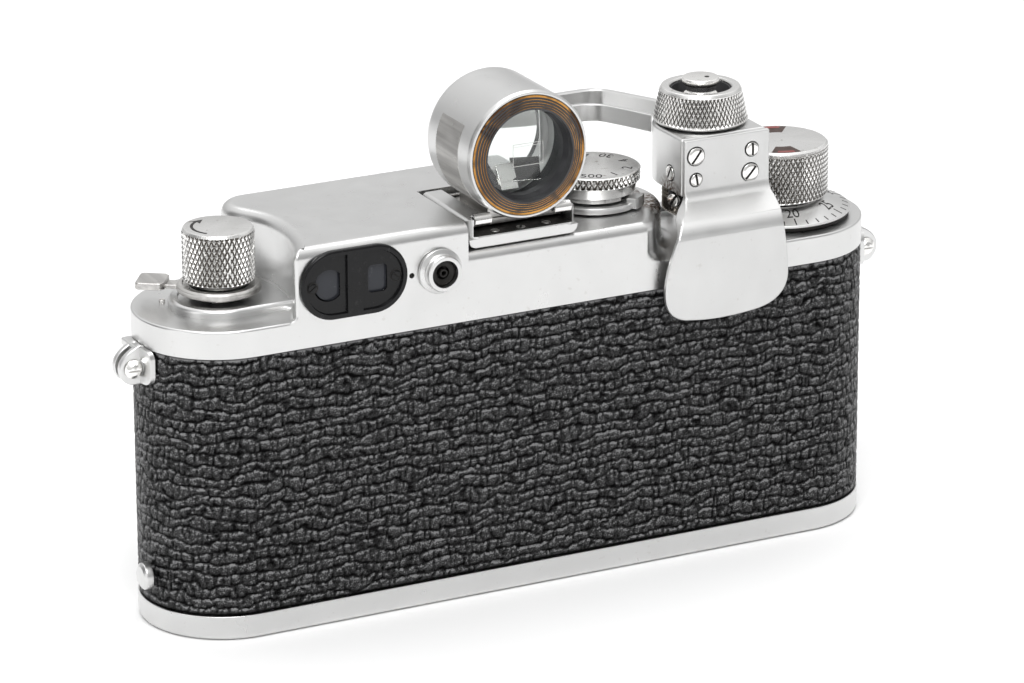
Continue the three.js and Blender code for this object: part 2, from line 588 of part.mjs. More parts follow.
for (const [name, x, z] of [['upper', 31.6, 70.7], ['lower', 42.2, 66.4]]) {
  const r = 1.65;
  const face = GRIP.rear - 0.25 - PLATE.sheet;
  add(`plate_screw_${name}`, cut(
    turnedAlongY([
      [0, face - 0.55], [r - 0.25, face - 0.5], [r, face - 0.25], [r, face - 0.05], [0, face - 0.05],
    ], x, z, 14),
    box([x - 0.2, face - 1, z - 3], [x + 0.2, face - 0.3, z + 3]),
  ), 'brightChrome');
}

add('finger_cup', turned([
  [3.2, 73.9], [8, 73.9], [8.23, 74.2], [7.1, 79.6], [6.8, 80], [5.5, 80], [5.29, 79.8], [4.9, 75], [3.2, 75],
], RELEASE_X, 0, 22), 'satinChrome');
add('plunger', turned([
  [0, 59.8], [1.6, 59.8], [1.6, 76.7], [3.4, 77.1], [4.3, 77.2], [3.9, 78.1], [2.5, 79.2],
  [2.5, 80.7], [3.27, 80.8], [3.27, 81.1], [3.06, 81.5], [0, 81.5],
], RELEASE_X, 0, 18), 'brightChrome');

// The finger loop: a flat strip on edge, bent into a long U whose ends meet the grip.
const LOOP = { low: 71.4, high: 74.5, strip: 1.2, near: 14.9, far: 23.6, left: 4.6 };
function fingerLoop() {
  const middle = (LOOP.near + LOOP.far) / 2;
  const route = (inset) => {
    const r = (LOOP.far - LOOP.near) / 2 - inset;
    const shape = new THREE.Shape();
    shape.moveTo(30.4 + inset, 3.6);
    shape.quadraticCurveTo(28 + inset, 9, 26 + inset * 0.9, 12.6);
    shape.quadraticCurveTo(24.8, LOOP.near + inset, 21.6, LOOP.near + inset);
    shape.lineTo(LOOP.left, LOOP.near + inset);
    shape.absarc(LOOP.left, middle, r, 1.5 * Math.PI, Math.PI / 2, true);
    shape.lineTo(26, LOOP.far - inset);
    shape.quadraticCurveTo(29.6, LOOP.far - inset, 31.4 - inset, 20.6);
    shape.lineTo(37 - inset, 10.2);
    shape.lineTo(37 - inset, 3.6);
    return shape;
  };
  return cut(
    raised(route(0), LOOP.low, LOOP.high, 0, 6),
    raised(route(LOOP.strip), LOOP.low - 1, LOOP.high + 1, 0, 6),
    raised(gripOutline(-0.15), LOOP.low - 5, LOOP.high + 5, 0, 16),
    box([25, -4, 60], [45, 3.9, 80]),
  );
}
add('finger_loop', fingerLoop(), 'satinChrome');

// ---- lens: flange on the body, mount, focusing ring, collapsible tube -----------------------------
const onLens = (profile, sides = 22) => turnedAlongY(profile, LENS.x, LENS.z, sides);
add('lens_flange', onLens([
  [17.9, 13.2], [19, 13.2], [19, 15], [22.3, 15], [22.3, 18.2], [22, HOUSING_FRONT], [17.9, HOUSING_FRONT],
], 24), 'satinChrome');
add('lens_mount', onLens([
  [15.4, 14], [17.6, 14], [17.6, 18.8], [23.6, 18.8], [23.9, 19.1], [23.9, 22.2], [23.4, 22.7], [15.4, 22.7],
]), 'satinChrome');

function focusRing() {
  const ring = onLens([[15.4, 23], [21.8, 23], [21.8, 25.6], [20.6, 26.8], [15.4, 26.8]]);
  const lever = box([-2.2, 23, -28], [2.2, 25.4, -20]).rotate([0, -28, 0]).translate([LENS.x, 0, LENS.z]);
  return join(ring, lever);
}
add('focus_ring', focusRing(), 'satinChrome');
add('lens_carriage', onLens([
  [12.3, 12.6], [15.1, 12.6], [15.1, 27.8], [16.6, 28.1], [16.6, 30.4], [12.3, 30.4],
]), 'brass');
add('lens_tube', onLens([[10.2, 16.5], [12, 16.5], [12, 44], [10.2, 44]]), 'brightChrome');
add('lens_head', onLens([
  [7.2, 44.3], [14.6, 44.3], [15, 44.7], [15, 48.6], [14.6, 49], [13.2, 49], [9.4, 46.4], [7.2, 46.4],
]), 'satinChrome');
add('front_glass', onLens([[0, 43.3], [6.9, 43.3], [6.9, 45], [4, 45.9], [0, 46.2]], 24), 'glass');

export default camera;
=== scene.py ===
"""The looks of a 35 mm rangefinder camera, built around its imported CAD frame.

Lengths are in millimetres until a mesh is made. +X is the holder's right, +Y points to the subject, +Z is up.
"""

import json
import math

import bmesh
import bpy
import numpy as np
from mathutils import Matrix, Vector

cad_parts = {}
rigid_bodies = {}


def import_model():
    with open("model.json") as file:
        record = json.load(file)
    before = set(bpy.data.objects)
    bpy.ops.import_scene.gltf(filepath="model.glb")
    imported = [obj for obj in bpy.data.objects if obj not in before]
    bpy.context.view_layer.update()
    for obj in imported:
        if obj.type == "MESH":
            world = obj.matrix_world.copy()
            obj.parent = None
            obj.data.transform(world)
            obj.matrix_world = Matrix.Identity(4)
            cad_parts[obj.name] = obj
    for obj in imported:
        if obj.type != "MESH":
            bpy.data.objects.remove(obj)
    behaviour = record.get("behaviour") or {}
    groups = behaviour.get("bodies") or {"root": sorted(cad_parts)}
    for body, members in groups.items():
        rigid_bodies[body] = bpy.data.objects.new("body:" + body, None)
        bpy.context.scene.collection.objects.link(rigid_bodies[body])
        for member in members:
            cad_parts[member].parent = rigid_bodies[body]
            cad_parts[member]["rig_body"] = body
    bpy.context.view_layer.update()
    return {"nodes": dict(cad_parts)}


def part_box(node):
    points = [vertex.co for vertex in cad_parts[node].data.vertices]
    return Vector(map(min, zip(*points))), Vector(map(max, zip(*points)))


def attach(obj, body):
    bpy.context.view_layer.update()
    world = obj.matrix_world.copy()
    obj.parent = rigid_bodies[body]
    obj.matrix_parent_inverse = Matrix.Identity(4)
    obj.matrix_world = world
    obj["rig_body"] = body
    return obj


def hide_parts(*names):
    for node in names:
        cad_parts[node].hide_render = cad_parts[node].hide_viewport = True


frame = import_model()

MM = 0.001


# ---- places, read from the frame -----------------------------------------------------------
def span(node):
    """The lowest and highest corner of a CAD node, in millimetres."""
    low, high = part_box(node)
    return np.array(low) / MM, np.array(high) / MM


def centre(node):
    low, high = span(node)
    return (low + high) / 2


BASE_TOP = span("base_plate")[1][2] - 2.7     # the base's rim, below its light trap
COVER_LOW, COVER_HIGH = (corner[2] for corner in span("leather_cover"))
COVERING_TOP = COVER_HIGH + 0.2
(LEFT, REAR, _), (RIGHT, _, HOUSING_TOP) = span("top_cover")
HOUSING_FRONT = span("top_cover")[1][1]
DECK = 54.7
SHOE_DECK = 61.9
SHEET = 1.0
REWIND_X = centre("cassette_spool")[0]
WIND_X = centre("wind_knob")[0]
SPEED_X = centre("speed_dial")[0]
RELEASE_X = centre("plunger")[0]
LENS_X, _, LENS_Z = centre("lens_tube")
FINDER_X, _, FINDER_Z = centre("finder_barrel")
SOCKET_X, _, SOCKET_Z = centre("flash_socket")
EYE_X, _, EYE_Z = centre("eyepiece_plate")
DIAL_X, _, DIAL_Z = centre("slow_speed_dial")
KEY_X = centre("base_key")[0]
BUSH_X = centre("tripod_bush")[0]
SHOE_LOW, SHOE_HIGH = span("accessory_shoe")
END_R = -REAR
GRAIN_TOP, GRAIN_DEPTH = END_R - 0.1, 0.40


# ---- outlines and profiles -----------------------------------------------------------------
def arc(x, y, r, start, end, steps=24):
    """Points of an arc, from one angle to another in degrees."""
    turn = np.radians(np.linspace(start, end, steps + 1))
    return np.c_[x + r * np.cos(turn), y + r * np.sin(turn)]


def bezier(*controls, steps=14):
    t = np.linspace(0, 1, steps + 1)[:, None]
    runs = [np.array(point, float) for point in controls]
    while len(runs) > 1:
        runs = [a * (1 - t) + b * t for a, b in zip(runs, runs[1:])]
    return runs[0]


def rounded(points, edge=0.0, closed=True, steps=5):
    """Turns each corner into an arc, of the radius in its third number or else of edge."""
    made = []
    for i, corner in enumerate(points):
        p = np.array(corner[:2], float)
        radius = corner[2] if len(corner) > 2 else edge
        before = np.array(points[i - 1][:2], float) - p
        after = np.array(points[(i + 1) % len(points)][:2], float) - p
        lengths = np.linalg.norm(before), np.linalg.norm(after)
        ends_open = not closed and i in (0, len(points) - 1)
        if radius <= 0 or ends_open or min(lengths) < 1e-6:
            made.append(p)
            continue
        before, after = before / lengths[0], after / lengths[1]
        half = math.acos(max(-1.0, min(1.0, float(before @ after)))) / 2
        if half > 1.5 or half < 0.02:
            made.append(p)
            continue
        reach = min(radius / math.tan(half), 0.48 * min(lengths))
        radius = reach * math.tan(half)
        middle = (before + after) / np.linalg.norm(before + after)
        pivot = p + middle * radius / math.sin(half)
        first, last = p + before * reach - pivot, p + after * reach - pivot
        cross = first[0] * last[1] - first[1] * last[0]
        sweep = math.atan2(cross, float(first @ last))
        for k in range(steps + 1):
            c, s = math.cos(sweep * k / steps), math.sin(sweep * k / steps)
            made.append(pivot + np.array([first[0] * c - first[1] * s, first[0] * s + first[1] * c]))
    return np.array(made)


def outline(*runs, edge=0.0):
    """A closed anticlockwise outline: rows of x, y and corner radius, from corners and curves."""
    points = []
    for run in runs:
        if isinstance(run, np.ndarray):
            points += [(x, y, 0.0) for x, y in run]
        else:
            points.append(run if len(run) > 2 else (*run, edge))
    made = np.array([p for p, q in zip(points, points[-1:] + points[:-1]) if math.dist(p[:2], q[:2]) > 1e-3])
    x, y = made[:, :2].T
    area = np.sum(x * np.roll(y, -1) - np.roll(x, -1) * y)
    return made if area > 0 else made[::-1]


def slot_outline(width, height, x=0.0, y=0.0, steps=32):
    """A slot with half-circle ends."""
    r = height / 2
    half = width / 2 - r
    return outline(arc(x + half, y, r, -90, 90, steps), arc(x - half, y, r, 90, 270, steps))


def circle(x, y, r, steps=64):
    return outline(arc(x, y, r, 0, 360, steps)[:-1])


def body_outline(inset=0.0, steps=48):
    return slot_outline(RIGHT - LEFT - 2 * inset, 2 * (END_R - inset), steps=steps)


def shifted(corners, inset):
    """The outline moved inwards by inset, each side parallel to itself, with its corner radii to match."""
    points, radius = corners[:, :2], corners[:, 2]
    side = np.roll(points, -1, 0) - points
    side = side / np.linalg.norm(side, axis=1)[:, None]
    inward = np.c_[-side[:, 1], side[:, 0]]
    earlier = np.roll(inward, 1, 0)
    share = 1 + np.sum(inward * earlier, axis=1)
    moved = points + (inward + earlier) / np.maximum(share, 0.3)[:, None] * inset
    return np.c_[moved, np.where(radius > 0, np.maximum(radius - inset, 0.02), 0)]


def rims(low, high, bottom=0.3, top=0.3, steps=5):
    """(level, inset) pairs of a block with rounded lower and upper rims."""
    turn = np.linspace(0, math.pi / 2, steps + 1)
    up = [(low + bottom * (1 - math.cos(t)), bottom * (1 - math.sin(t))) for t in turn]
    down = [(high - top * (1 - math.cos(t)), top * (1 - math.sin(t))) for t in turn[::-1]]
    return (up if bottom > 0 else [(low, 0.0)]) + (down if top > 0 else [(high, 0.0)])


# ---- shapes: (points, faces) ---------------------------------------------------------------
PLANES = {"XY": lambda u, v, w: (u, v, w), "XZ": lambda u, v, w: (u, w, v), "YZ": lambda u, v, w: (w, u, v)}


def skin(rings, wrap=True, loop=False, caps=False):
    """A surface over a stack of rings. It wraps round each ring and may loop from last to first."""
    rings = np.asarray(rings, float)
    count, around = rings.shape[:2]
    index = np.arange(count * around).reshape(count, around)
    if loop:
        index = np.vstack([index, index[:1]])
    if wrap:
        index = np.hstack([index, index[:, :1]])
    corners = [index[:-1, :-1], index[:-1, 1:], index[1:, 1:], index[1:, :-1]]
    faces = np.stack(corners, -1).reshape(-1, 4).tolist()
    if caps:
        last = (count - 1) * around
        faces += [list(range(around))[::-1], list(range(last, last + around))]
    return rings.reshape(-1, 3), faces


def prism(points, levels, plane="XY"):
    """An outline raised through (level, inset) pairs."""
    rings = []
    for level, inset in levels:
        u, v = rounded(shifted(points, inset)).T
        rings.append(np.stack(PLANES[plane](u, v, np.full_like(u, level)), -1))
    return skin(rings, caps=True)


def block(low, high, edge=0.2, plane="XY"):
    """A box with rounded edges all round."""
    order = {"XY": (0, 1, 2), "XZ": (0, 2, 1), "YZ": (1, 2, 0)}[plane]
    (u0, v0, w0), (u1, v1, w1) = ([corner[k] for k in order] for corner in (low, high))
    sides = outline((u0, v0), (u1, v0), (u1, v1), (u0, v1), edge=edge)
    return prism(sides, rims(w0, w1, edge, edge, 3), plane)


def spun(profile, x=0.0, y=0.0, z=0.0, axis="Z", sides=96, edge=0.12, relief=None):
    """A profile of (radius, height) corners turned about an axis through (x, y, z). relief(angle, height) cuts in."""
    open_ends = profile[0][0] == 0
    points = rounded(profile, edge, closed=not open_ends, steps=4)
    turn = np.linspace(0, 2 * math.pi, sides, endpoint=False)
    if relief is not None:
        points = relief.rows(points)
    r = np.repeat(points[:, :1], sides, 1)
    h = np.repeat(points[:, 1:], sides, 1)
    if relief is not None:
        r = r - relief.depth_at(turn[None, :], r, h)
    u, v = r * np.cos(turn), r * np.sin(turn)
    spots = {"Z": (x + u, y + v, z + h), "Y": (x + u, y + h, z + v), "X": (x + h, y + u, z + v)}[axis]
    return skin(np.stack(spots, -1), loop=not open_ends)


class Knurl:
    """Diamond knurling on the outside of a turned piece, between two heights."""

    def __init__(self, low, high, count, depth, row=None, straight=False, grid=10, worn=0.8):
        self.low, self.high, self.count, self.depth = low, high, count, depth
        self.row, self.straight, self.grid, self.worn = row, straight, grid, worn

    def sides(self):
        return self.count * self.grid

    def rows(self, points):
        """The profile with extra points along the knurled band."""
        made = []
        inner = points[:, 0].mean()
        for a, b in zip(points, [*points[1:], points[0]]):
            made.append(a)
            low, high = sorted((a[1], b[1]))
            in_band = low >= self.low - 0.3 and high <= self.high + 0.3 and min(a[0], b[0]) > inner
            if in_band and high - low > 0.4:
                steps = max(2, int((high - low) / (self.row or 1.0) * self.grid))
                made += [a + (b - a) * k / steps for k in range(1, steps)]
        return np.array(made)

    def depth_at(self, turn, r, h):
        along = self.count * turn / (2 * math.pi)
        rise = (h - self.low) / (self.row or 1e9) * (0 if self.straight else 0.5)
        near = [1 - np.abs(2 * ((along * 0.5 * 2 + sign * rise) % 1) - 1) for sign in (1, -1)]
        height = np.minimum(np.minimum(*near), self.worn) / self.worn
        inside = (h > self.low) & (h < self.high) & (r > 0.86 * r.max())
        fade = np.clip(np.minimum(h - self.low, self.high - h) / 0.12, 0, 1)
        return np.where(inside, self.depth * (1 - height) * fade, 0.0)


def placed(shape, matrix):
    points, faces = shape
    moved = np.c_[points, np.ones(len(points))] @ np.array(matrix).T
    return moved[:, :3], faces


def together(*shapes):
    """Several shapes as one, without joining their surfaces."""
    points, faces, start = [], [], 0
    for some, theirs in shapes:
        points.append(some)
        faces += [[i + start for i in face] for face in theirs]
        start += len(some)
    return np.vstack(points), faces


# ---- objects -------------------------------------------------------------------------------
def solid(shape):
    """A Blender object of a shape, with merged points and its normals out."""
    points, faces = shape
    mesh = bpy.data.meshes.new("solid")
    mesh.from_pydata((np.asarray(points) * MM).tolist(), [], faces)
    bm = bmesh.new()
    bm.from_mesh(mesh)
    bmesh.ops.remove_doubles(bm, verts=bm.verts, dist=1e-7)
    bmesh.ops.recalc_face_normals(bm, faces=bm.faces)
    bm.to_mesh(mesh)
    bm.free()
    made = bpy.data.objects.new("solid", mesh)
    bpy.context.scene.collection.objects.link(made)
    return made


def shape_of(made):
    """The points and faces of an object, which is removed."""
    shape = np.array([v.co for v in made.data.vertices]) / MM, [list(p.vertices) for p in made.data.polygons]
    bpy.data.objects.remove(made)
    return shape


def as_solid(item):
    return item if isinstance(item, bpy.types.Object) else solid(item)


def combined(first, others, operation):
    """The first solid with the others joined to it, cut from it or shared with it."""
    target = as_solid(first)
    tools = [as_solid(item) for item in others]
    for tool in tools:
        modifier = target.modifiers.new("combine", "BOOLEAN")
        modifier.operation = operation
        modifier.solver = "MANIFOLD"
        modifier.object = tool
    bpy.context.view_layer.update()
    evaluated = target.evaluated_get(bpy.context.evaluated_depsgraph_get())
    mesh = bpy.data.meshes.new_from_object(evaluated)
    target.modifiers.clear()
    target.data = mesh
    for tool in tools:
        bpy.data.objects.remove(tool)
    if not mesh.polygons:
        raise RuntimeError(f"{operation} left nothing")
    return target


def union(first, *others):
    return combined(first, others, "UNION")


def cut(first, *others):
    return combined(first, others, "DIFFERENCE")


def shared(first, *others):
    return combined(first, others, "INTERSECT")


def piece(name, item, finish, stands_for=(), body=None, bevel=0.0, smooth=32, weighted=True):
    """One visible piece: its mesh, its finish, the CAD nodes that it stands for and the body it rides on."""
    made = as_solid(item)
    made.name = made.data.name = name
    made.data.materials.clear()
    made.data.materials.append(FINISHES[finish])
    made.data.shade_smooth()
    made.data.set_sharp_from_angle(angle=math.radians(smooth))
    if bevel:
        modifier = made.modifiers.new("edges", "BEVEL")
        modifier.width = bevel * MM
        modifier.segments = 2
        modifier.limit_method = "ANGLE"
        modifier.angle_limit = math.radians(35)
        modifier.use_clamp_overlap = False
    if weighted:
        modifier = made.modifiers.new("normals", "WEIGHTED_NORMAL")
        modifier.keep_sharp = True
    nodes = [stands_for] if isinstance(stands_for, str) else list(stands_for)
    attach(made, body or frame["nodes"][nodes[0]]["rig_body"])
    if nodes:
        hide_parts(*nodes)
    return made


def numerals(name, marks, size, finish, body, thickness=0.04):
    """Plain numbers as thin inlays. marks holds (text, matrix) pairs, with matrices in millimetres."""
    shapes = []
    for text, matrix in marks:
        curve = bpy.data.curves.new("mark", "FONT")
        curve.body = text
        curve.size = size
        curve.extrude = thickness / 2
        curve.align_x = curve.align_y = "CENTER"
        curve.resolution_u = 4
        holder = bpy.data.objects.new("mark", curve)
        bpy.context.scene.collection.objects.link(holder)
        bpy.context.view_layer.update()
        mesh = bpy.data.meshes.new_from_object(holder.evaluated_get(bpy.context.evaluated_depsgraph_get()))
        points = np.array([v.co for v in mesh.vertices], float).reshape(-1, 3)
        shapes.append(placed((points, [list(p.vertices) for p in mesh.polygons]), matrix))
        bpy.data.objects.remove(holder)
    return piece(name, together(*shapes), finish, body=body, smooth=20, weighted=False)


def on_top(x, y, z, turn=0.0):
    """The matrix of a mark lying on an upward face, turned about Z in degrees."""
    return Matrix.Translation((x, y, z)) @ Matrix.Rotation(math.radians(turn), 4, "Z")


# ---- finishes ------------------------------------------------------------------------------
class Finish:
    """A procedural material: its Principled shader and the nodes that drive it."""

    def __init__(self, name, **inputs):
        self.material = bpy.data.materials.new(name)
        self.material.use_nodes = True
        self.tree = self.material.node_tree
        self.shader = self.tree.nodes["Principled BSDF"]
        self.place = self.node("ShaderNodeTexCoord").outputs["Object"]
        for socket, value in inputs.items():
            self.shader.inputs[socket.replace("_", " ")].default_value = value

    def set(self, socket, value):
        if isinstance(value, bpy.types.NodeSocket):
            self.tree.links.new(value, socket)
        else:
            socket.default_value = value

    def node(self, kind, inputs=None, **settings):
        made = self.tree.nodes.new(kind)
        for key, value in settings.items():
            setattr(made, key, value)
        for key, value in (inputs or {}).items():
            self.set(made.inputs[key], value)
        return made

    def noise(self, scale, detail=3.0, stretch=(1, 1, 1), distortion=0.0, rough=0.5):
        mapped = self.node("ShaderNodeMapping", {"Vector": self.place, "Scale": stretch}).outputs[0]
        inputs = {"Vector": mapped, "Scale": scale, "Detail": detail, "Distortion": distortion, "Roughness": rough}
        return self.node("ShaderNodeTexNoise", inputs).outputs["Fac"]

    def ramp(self, fac, *stops):
        """stops are (place, value); a value is a number or a colour."""
        made = self.node("ShaderNodeValToRGB", {"Fac": fac})
        elements = made.color_ramp.elements
        while len(elements) < len(stops):
            elements.new(0.5)
        for element, (place, value) in zip(elements, stops):
            element.position = place
            element.color = (*value, 1) if isinstance(value, tuple) else (value, value, value, 1)
        return made.outputs["Color"]

    def mix(self, fac, first, second, blend="MIX"):
        made = self.node("ShaderNodeMix", data_type="RGBA", blend_type=blend)
        colour = [s for s in made.inputs if s.type == "RGBA"]
        for socket, value in ((made.inputs[0], fac), (colour[0], first), (colour[1], second)):
            self.set(socket, (*value, 1) if isinstance(value, tuple) and len(value) == 3 else value)
        return next(s for s in made.outputs if s.type == "RGBA")

    def near(self, spot, radius):
        """1 at a spot of the row frame, in millimetres, falling to 0 at its radius."""
        at = tuple(v * MM for v in spot)
        gap = self.node("ShaderNodeVectorMath", {0: self.place, 1: at}, operation="DISTANCE").outputs["Value"]
        return self.node("ShaderNodeMapRange", {"Value": gap, "From Max": radius * MM, "To Min": 1.0, "To Max": 0.0}
                         ).outputs[0]

    def valleys(self, low, high):
        """1 in the valleys of the mesh, 0 on its flats and ridges."""
        return self.ramp(self.node("ShaderNodeNewGeometry").outputs["Pointiness"], (low, 1.0), (high, 0.0))

    def colour(self, value):
        self.set(self.shader.inputs["Base Color"], value)
        return self

    def roughness(self, value):
        self.set(self.shader.inputs["Roughness"], value)
        return self

    def bumps(self, *layers):
        """Each layer is (height, distance in mm); the layers add up."""
        normal = None
        for height, distance in layers:
            inputs = {"Height": height, "Distance": distance * MM, "Strength": 1.0}
            if normal is not None:
                inputs["Normal"] = normal
            normal = self.node("ShaderNodeBump", inputs).outputs["Normal"]
        self.tree.links.new(normal, self.shader.inputs["Normal"])
        return self.material


def metal(name, light, dark, rough, grain, wear=0.35, spots=(0.30, 0.26, 0.21)):
    """A bare or plated metal: cloudy tone, fine grain, faint scratches and a few tarnish spots."""
    made = Finish(name, Metallic=1.0)
    cloud = made.noise(70, 4, distortion=0.6)
    tone = made.mix(made.ramp(cloud, (0.35, 0.0), (0.7, 1.0)), light, dark)
    freckles = made.ramp(made.noise(900, 4), (0.66, 0.0), (0.74, wear))
    made.colour(made.mix(freckles, tone, spots))
    smears = made.noise(260, 5, stretch=(1, 1, 0.35), distortion=0.4)
    made.roughness(made.ramp(smears, (0.3, rough * 0.9), (0.75, rough * 1.15)))
    scratches = made.noise(700, 2, stretch=(0.06, 1.3, 1.3))
    return made, (made.noise(grain, 2), 0.006), (scratches, 0.004)


def satin_chrome(name="satin_chrome", rough=0.30):
    made, grain, scratches = metal(name, (0.685, 0.685, 0.68), (0.65, 0.65, 0.645), rough, 5200, 0.15)
    patchy = made.ramp(made.noise(1500, 5), (0.38, 0.0), (0.55, 1.0))
    around = made.ramp(made.near((SPEED_X + 10.2, -4.4, SHOE_DECK), 5.5), (0.05, 0.0), (0.4, 1.0))
    corrosion = made.node("ShaderNodeMath", {0: around, 1: patchy}, operation="MULTIPLY").outputs[0]
    chrome = made.shader.inputs["Base Color"].links[0].from_socket
    made.colour(made.mix(corrosion, chrome, (0.10, 0.055, 0.03)))
    return made.bumps(grain, scratches, (corrosion, 0.05))


def bright_chrome():
    made, grain, scratches = metal("bright_chrome", (0.93, 0.92, 0.90), (0.84, 0.83, 0.81), 0.17, 4200, 0.4)
    return made.bumps(grain, scratches)


def knurled_chrome(name="knurled_chrome", light=(0.84, 0.835, 0.825), dark=(0.70, 0.695, 0.68)):
    """Worn plating, with painted shade and grime darkening the valleys."""
    made, grain, scratches = metal(name, light, dark, 0.22, 3800, 0.5)
    plating = made.shader.inputs["Base Color"].links[0].from_socket
    # Painted shade and grime: the mesh's valleys are coloured dark, where shadow falls between the diamonds.
    made.colour(made.mix(made.valleys(0.47, 0.51), plating, (0.10, 0.09, 0.08)))
    return made.bumps(grain, scratches)


def leather():
    """Black coarse leatherette: glossy hills and a fine pale fleck, with painted shade in the creases and painted light
    on the upward-facing slopes.
    """
    made = Finish("leather")
    parts = made.node("ShaderNodeSeparateXYZ", {0: made.place}).outputs
    past = made.node("ShaderNodeMath", {0: parts["X"]}, operation="ABSOLUTE").outputs[0]
    past = made.node("ShaderNodeMath", {0: past, 1: (RIGHT - END_R) * MM}, operation="SUBTRACT").outputs[0]
    past = made.node("ShaderNodeMath", {0: past, 1: 0.0}, operation="MAXIMUM").outputs[0]
    flat = made.node("ShaderNodeCombineXYZ", {"X": past, "Y": parts["Y"]}).outputs[0]
    reach = made.node("ShaderNodeVectorMath", {0: flat}, operation="LENGTH").outputs["Value"]
    limits = {"Value": reach, "From Min": (GRAIN_TOP - GRAIN_DEPTH) * MM, "From Max": GRAIN_TOP * MM}
    height = made.node("ShaderNodeMapRange", limits).outputs[0]
    normal = made.node("ShaderNodeNewGeometry").outputs["Normal"]
    upward = made.node("ShaderNodeSeparateXYZ", {0: normal}).outputs["Z"]
    fleck = made.noise(4200, 3, rough=0.65)
    # Painted shading: low mesh height (the creases) darkens the colour, upward-facing normals lighten it as if lit from
    # above, and the highest values get a pale painted highlight; the fleck is the leather's own.
    painted_shading_and_fleck = 0.0
    for layer, share in ((height, 0.50), (fleck, 0.80), (upward, 0.62)):
        painted_shading_and_fleck = made.node("ShaderNodeMath", {0: layer, 1: share, 2: painted_shading_and_fleck}, operation="MULTIPLY_ADD").outputs[0]
    made.colour(made.ramp(painted_shading_and_fleck, (0.50, (0.001, 0.001, 0.001)), (0.82, (0.012, 0.012, 0.0124)),
                          (0.94, (0.040, 0.040, 0.041)), (1.0, (0.17, 0.17, 0.173))))
    # The specular level follows the same painted shading: dimmed in the creases, strongest on the lit tops.
    made.set(made.shader.inputs["Specular IOR Level"], made.ramp(painted_shading_and_fleck, (0.55, 0.02), (0.84, 0.25), (1.0, 0.5)))
    made.roughness(made.ramp(made.noise(1300, 4), (0.3, 0.30), (0.75, 0.48)))
    return made.bumps((made.noise(1500, 3), 0.05), (fleck, 0.03))


def black_enamel(name="black_enamel", colour=(0.005, 0.005, 0.0055), rough=0.24):
    made = Finish(name, Specular_IOR_Level=0.26)
    rubbed = made.ramp(made.noise(800, 5), (0.62, 0.0), (0.8, 0.5))
    lighter = tuple(min(1.0, v * 3 + 0.03) for v in colour)
    made.colour(made.mix(rubbed, colour, lighter))
    made.roughness(made.ramp(made.noise(500, 4), (0.3, rough * 0.7), (0.7, rough * 1.2)))
    return made.bumps((made.noise(2500, 3), 0.012))


def brass(name="brass", light=(0.78, 0.52, 0.20), dark=(0.42, 0.25, 0.10)):
    made, grain, scratches = metal(name, light, dark, 0.28, 3000, 0.6, (0.10, 0.05, 0.02))
    return made.bumps(grain, scratches)


def aged_brass():
    """Brass whose black paint has worn through in patches."""
    made, grain, scratches = metal("aged_brass", (0.60, 0.31, 0.085), (0.34, 0.16, 0.045), 0.24, 3000, 0.5, (0.05, 0.02, 0.01))
    painted = made.ramp(made.noise(170, 4, distortion=0.8), (0.40, 1.0), (0.52, 0.0))
    made.colour(made.mix(painted, made.shader.inputs["Base Color"].links[0].from_socket, (0.07, 0.035, 0.018)))
    return made.bumps(grain, scratches)


def steel():
    made = Finish("steel", Metallic=1.0)
    lines = made.noise(900, 3, stretch=(1, 0.05, 1))
    made.colour(made.mix(made.ramp(lines, (0.3, 0.0), (0.7, 1.0)), (0.62, 0.61, 0.59), (0.42, 0.41, 0.40)))
    made.roughness(made.ramp(made.noise(400, 4), (0.3, 0.26), (0.7, 0.42)))
    return made.bumps((lines, 0.01))


def dark_alloy():
    made = Finish("dark_alloy", Metallic=0.7)
    made.colour(made.mix(made.noise(300, 5), (0.035, 0.035, 0.038), (0.10, 0.10, 0.105)))
    made.roughness(made.ramp(made.noise(600, 4), (0.3, 0.42), (0.7, 0.62)))
    return made.bumps((made.noise(3000, 3), 0.02))


def curtain_cloth():
    made = Finish("curtain_cloth", Roughness=0.9, Sheen_Weight=0.2)
    weave = [made.node("ShaderNodeTexWave", {"Vector": made.place, "Scale": 900.0}, bands_direction=axis
                       ).outputs["Fac"] for axis in "XZ"]
    threads = made.node("ShaderNodeMath", {0: weave[0], 1: weave[1]}, operation="MAXIMUM").outputs[0]
    made.colour(made.mix(threads, (0.006, 0.006, 0.006), (0.020, 0.020, 0.021)))
    return made.bumps((threads, 0.05))


def glass(name="glass", tint=(0.96, 0.98, 0.97)):
    made = Finish(name, Transmission_Weight=1.0, IOR=1.5)
    made.colour(made.mix(made.ramp(made.noise(400, 4), (0.55, 0.0), (0.85, 0.35)), tint,
                         tuple(v * 0.8 for v in tint)))
    made.roughness(made.ramp(made.noise(700, 4), (0.5, 0.01), (0.8, 0.08)))
    return made.bumps((made.noise(60, 2), 0.004))


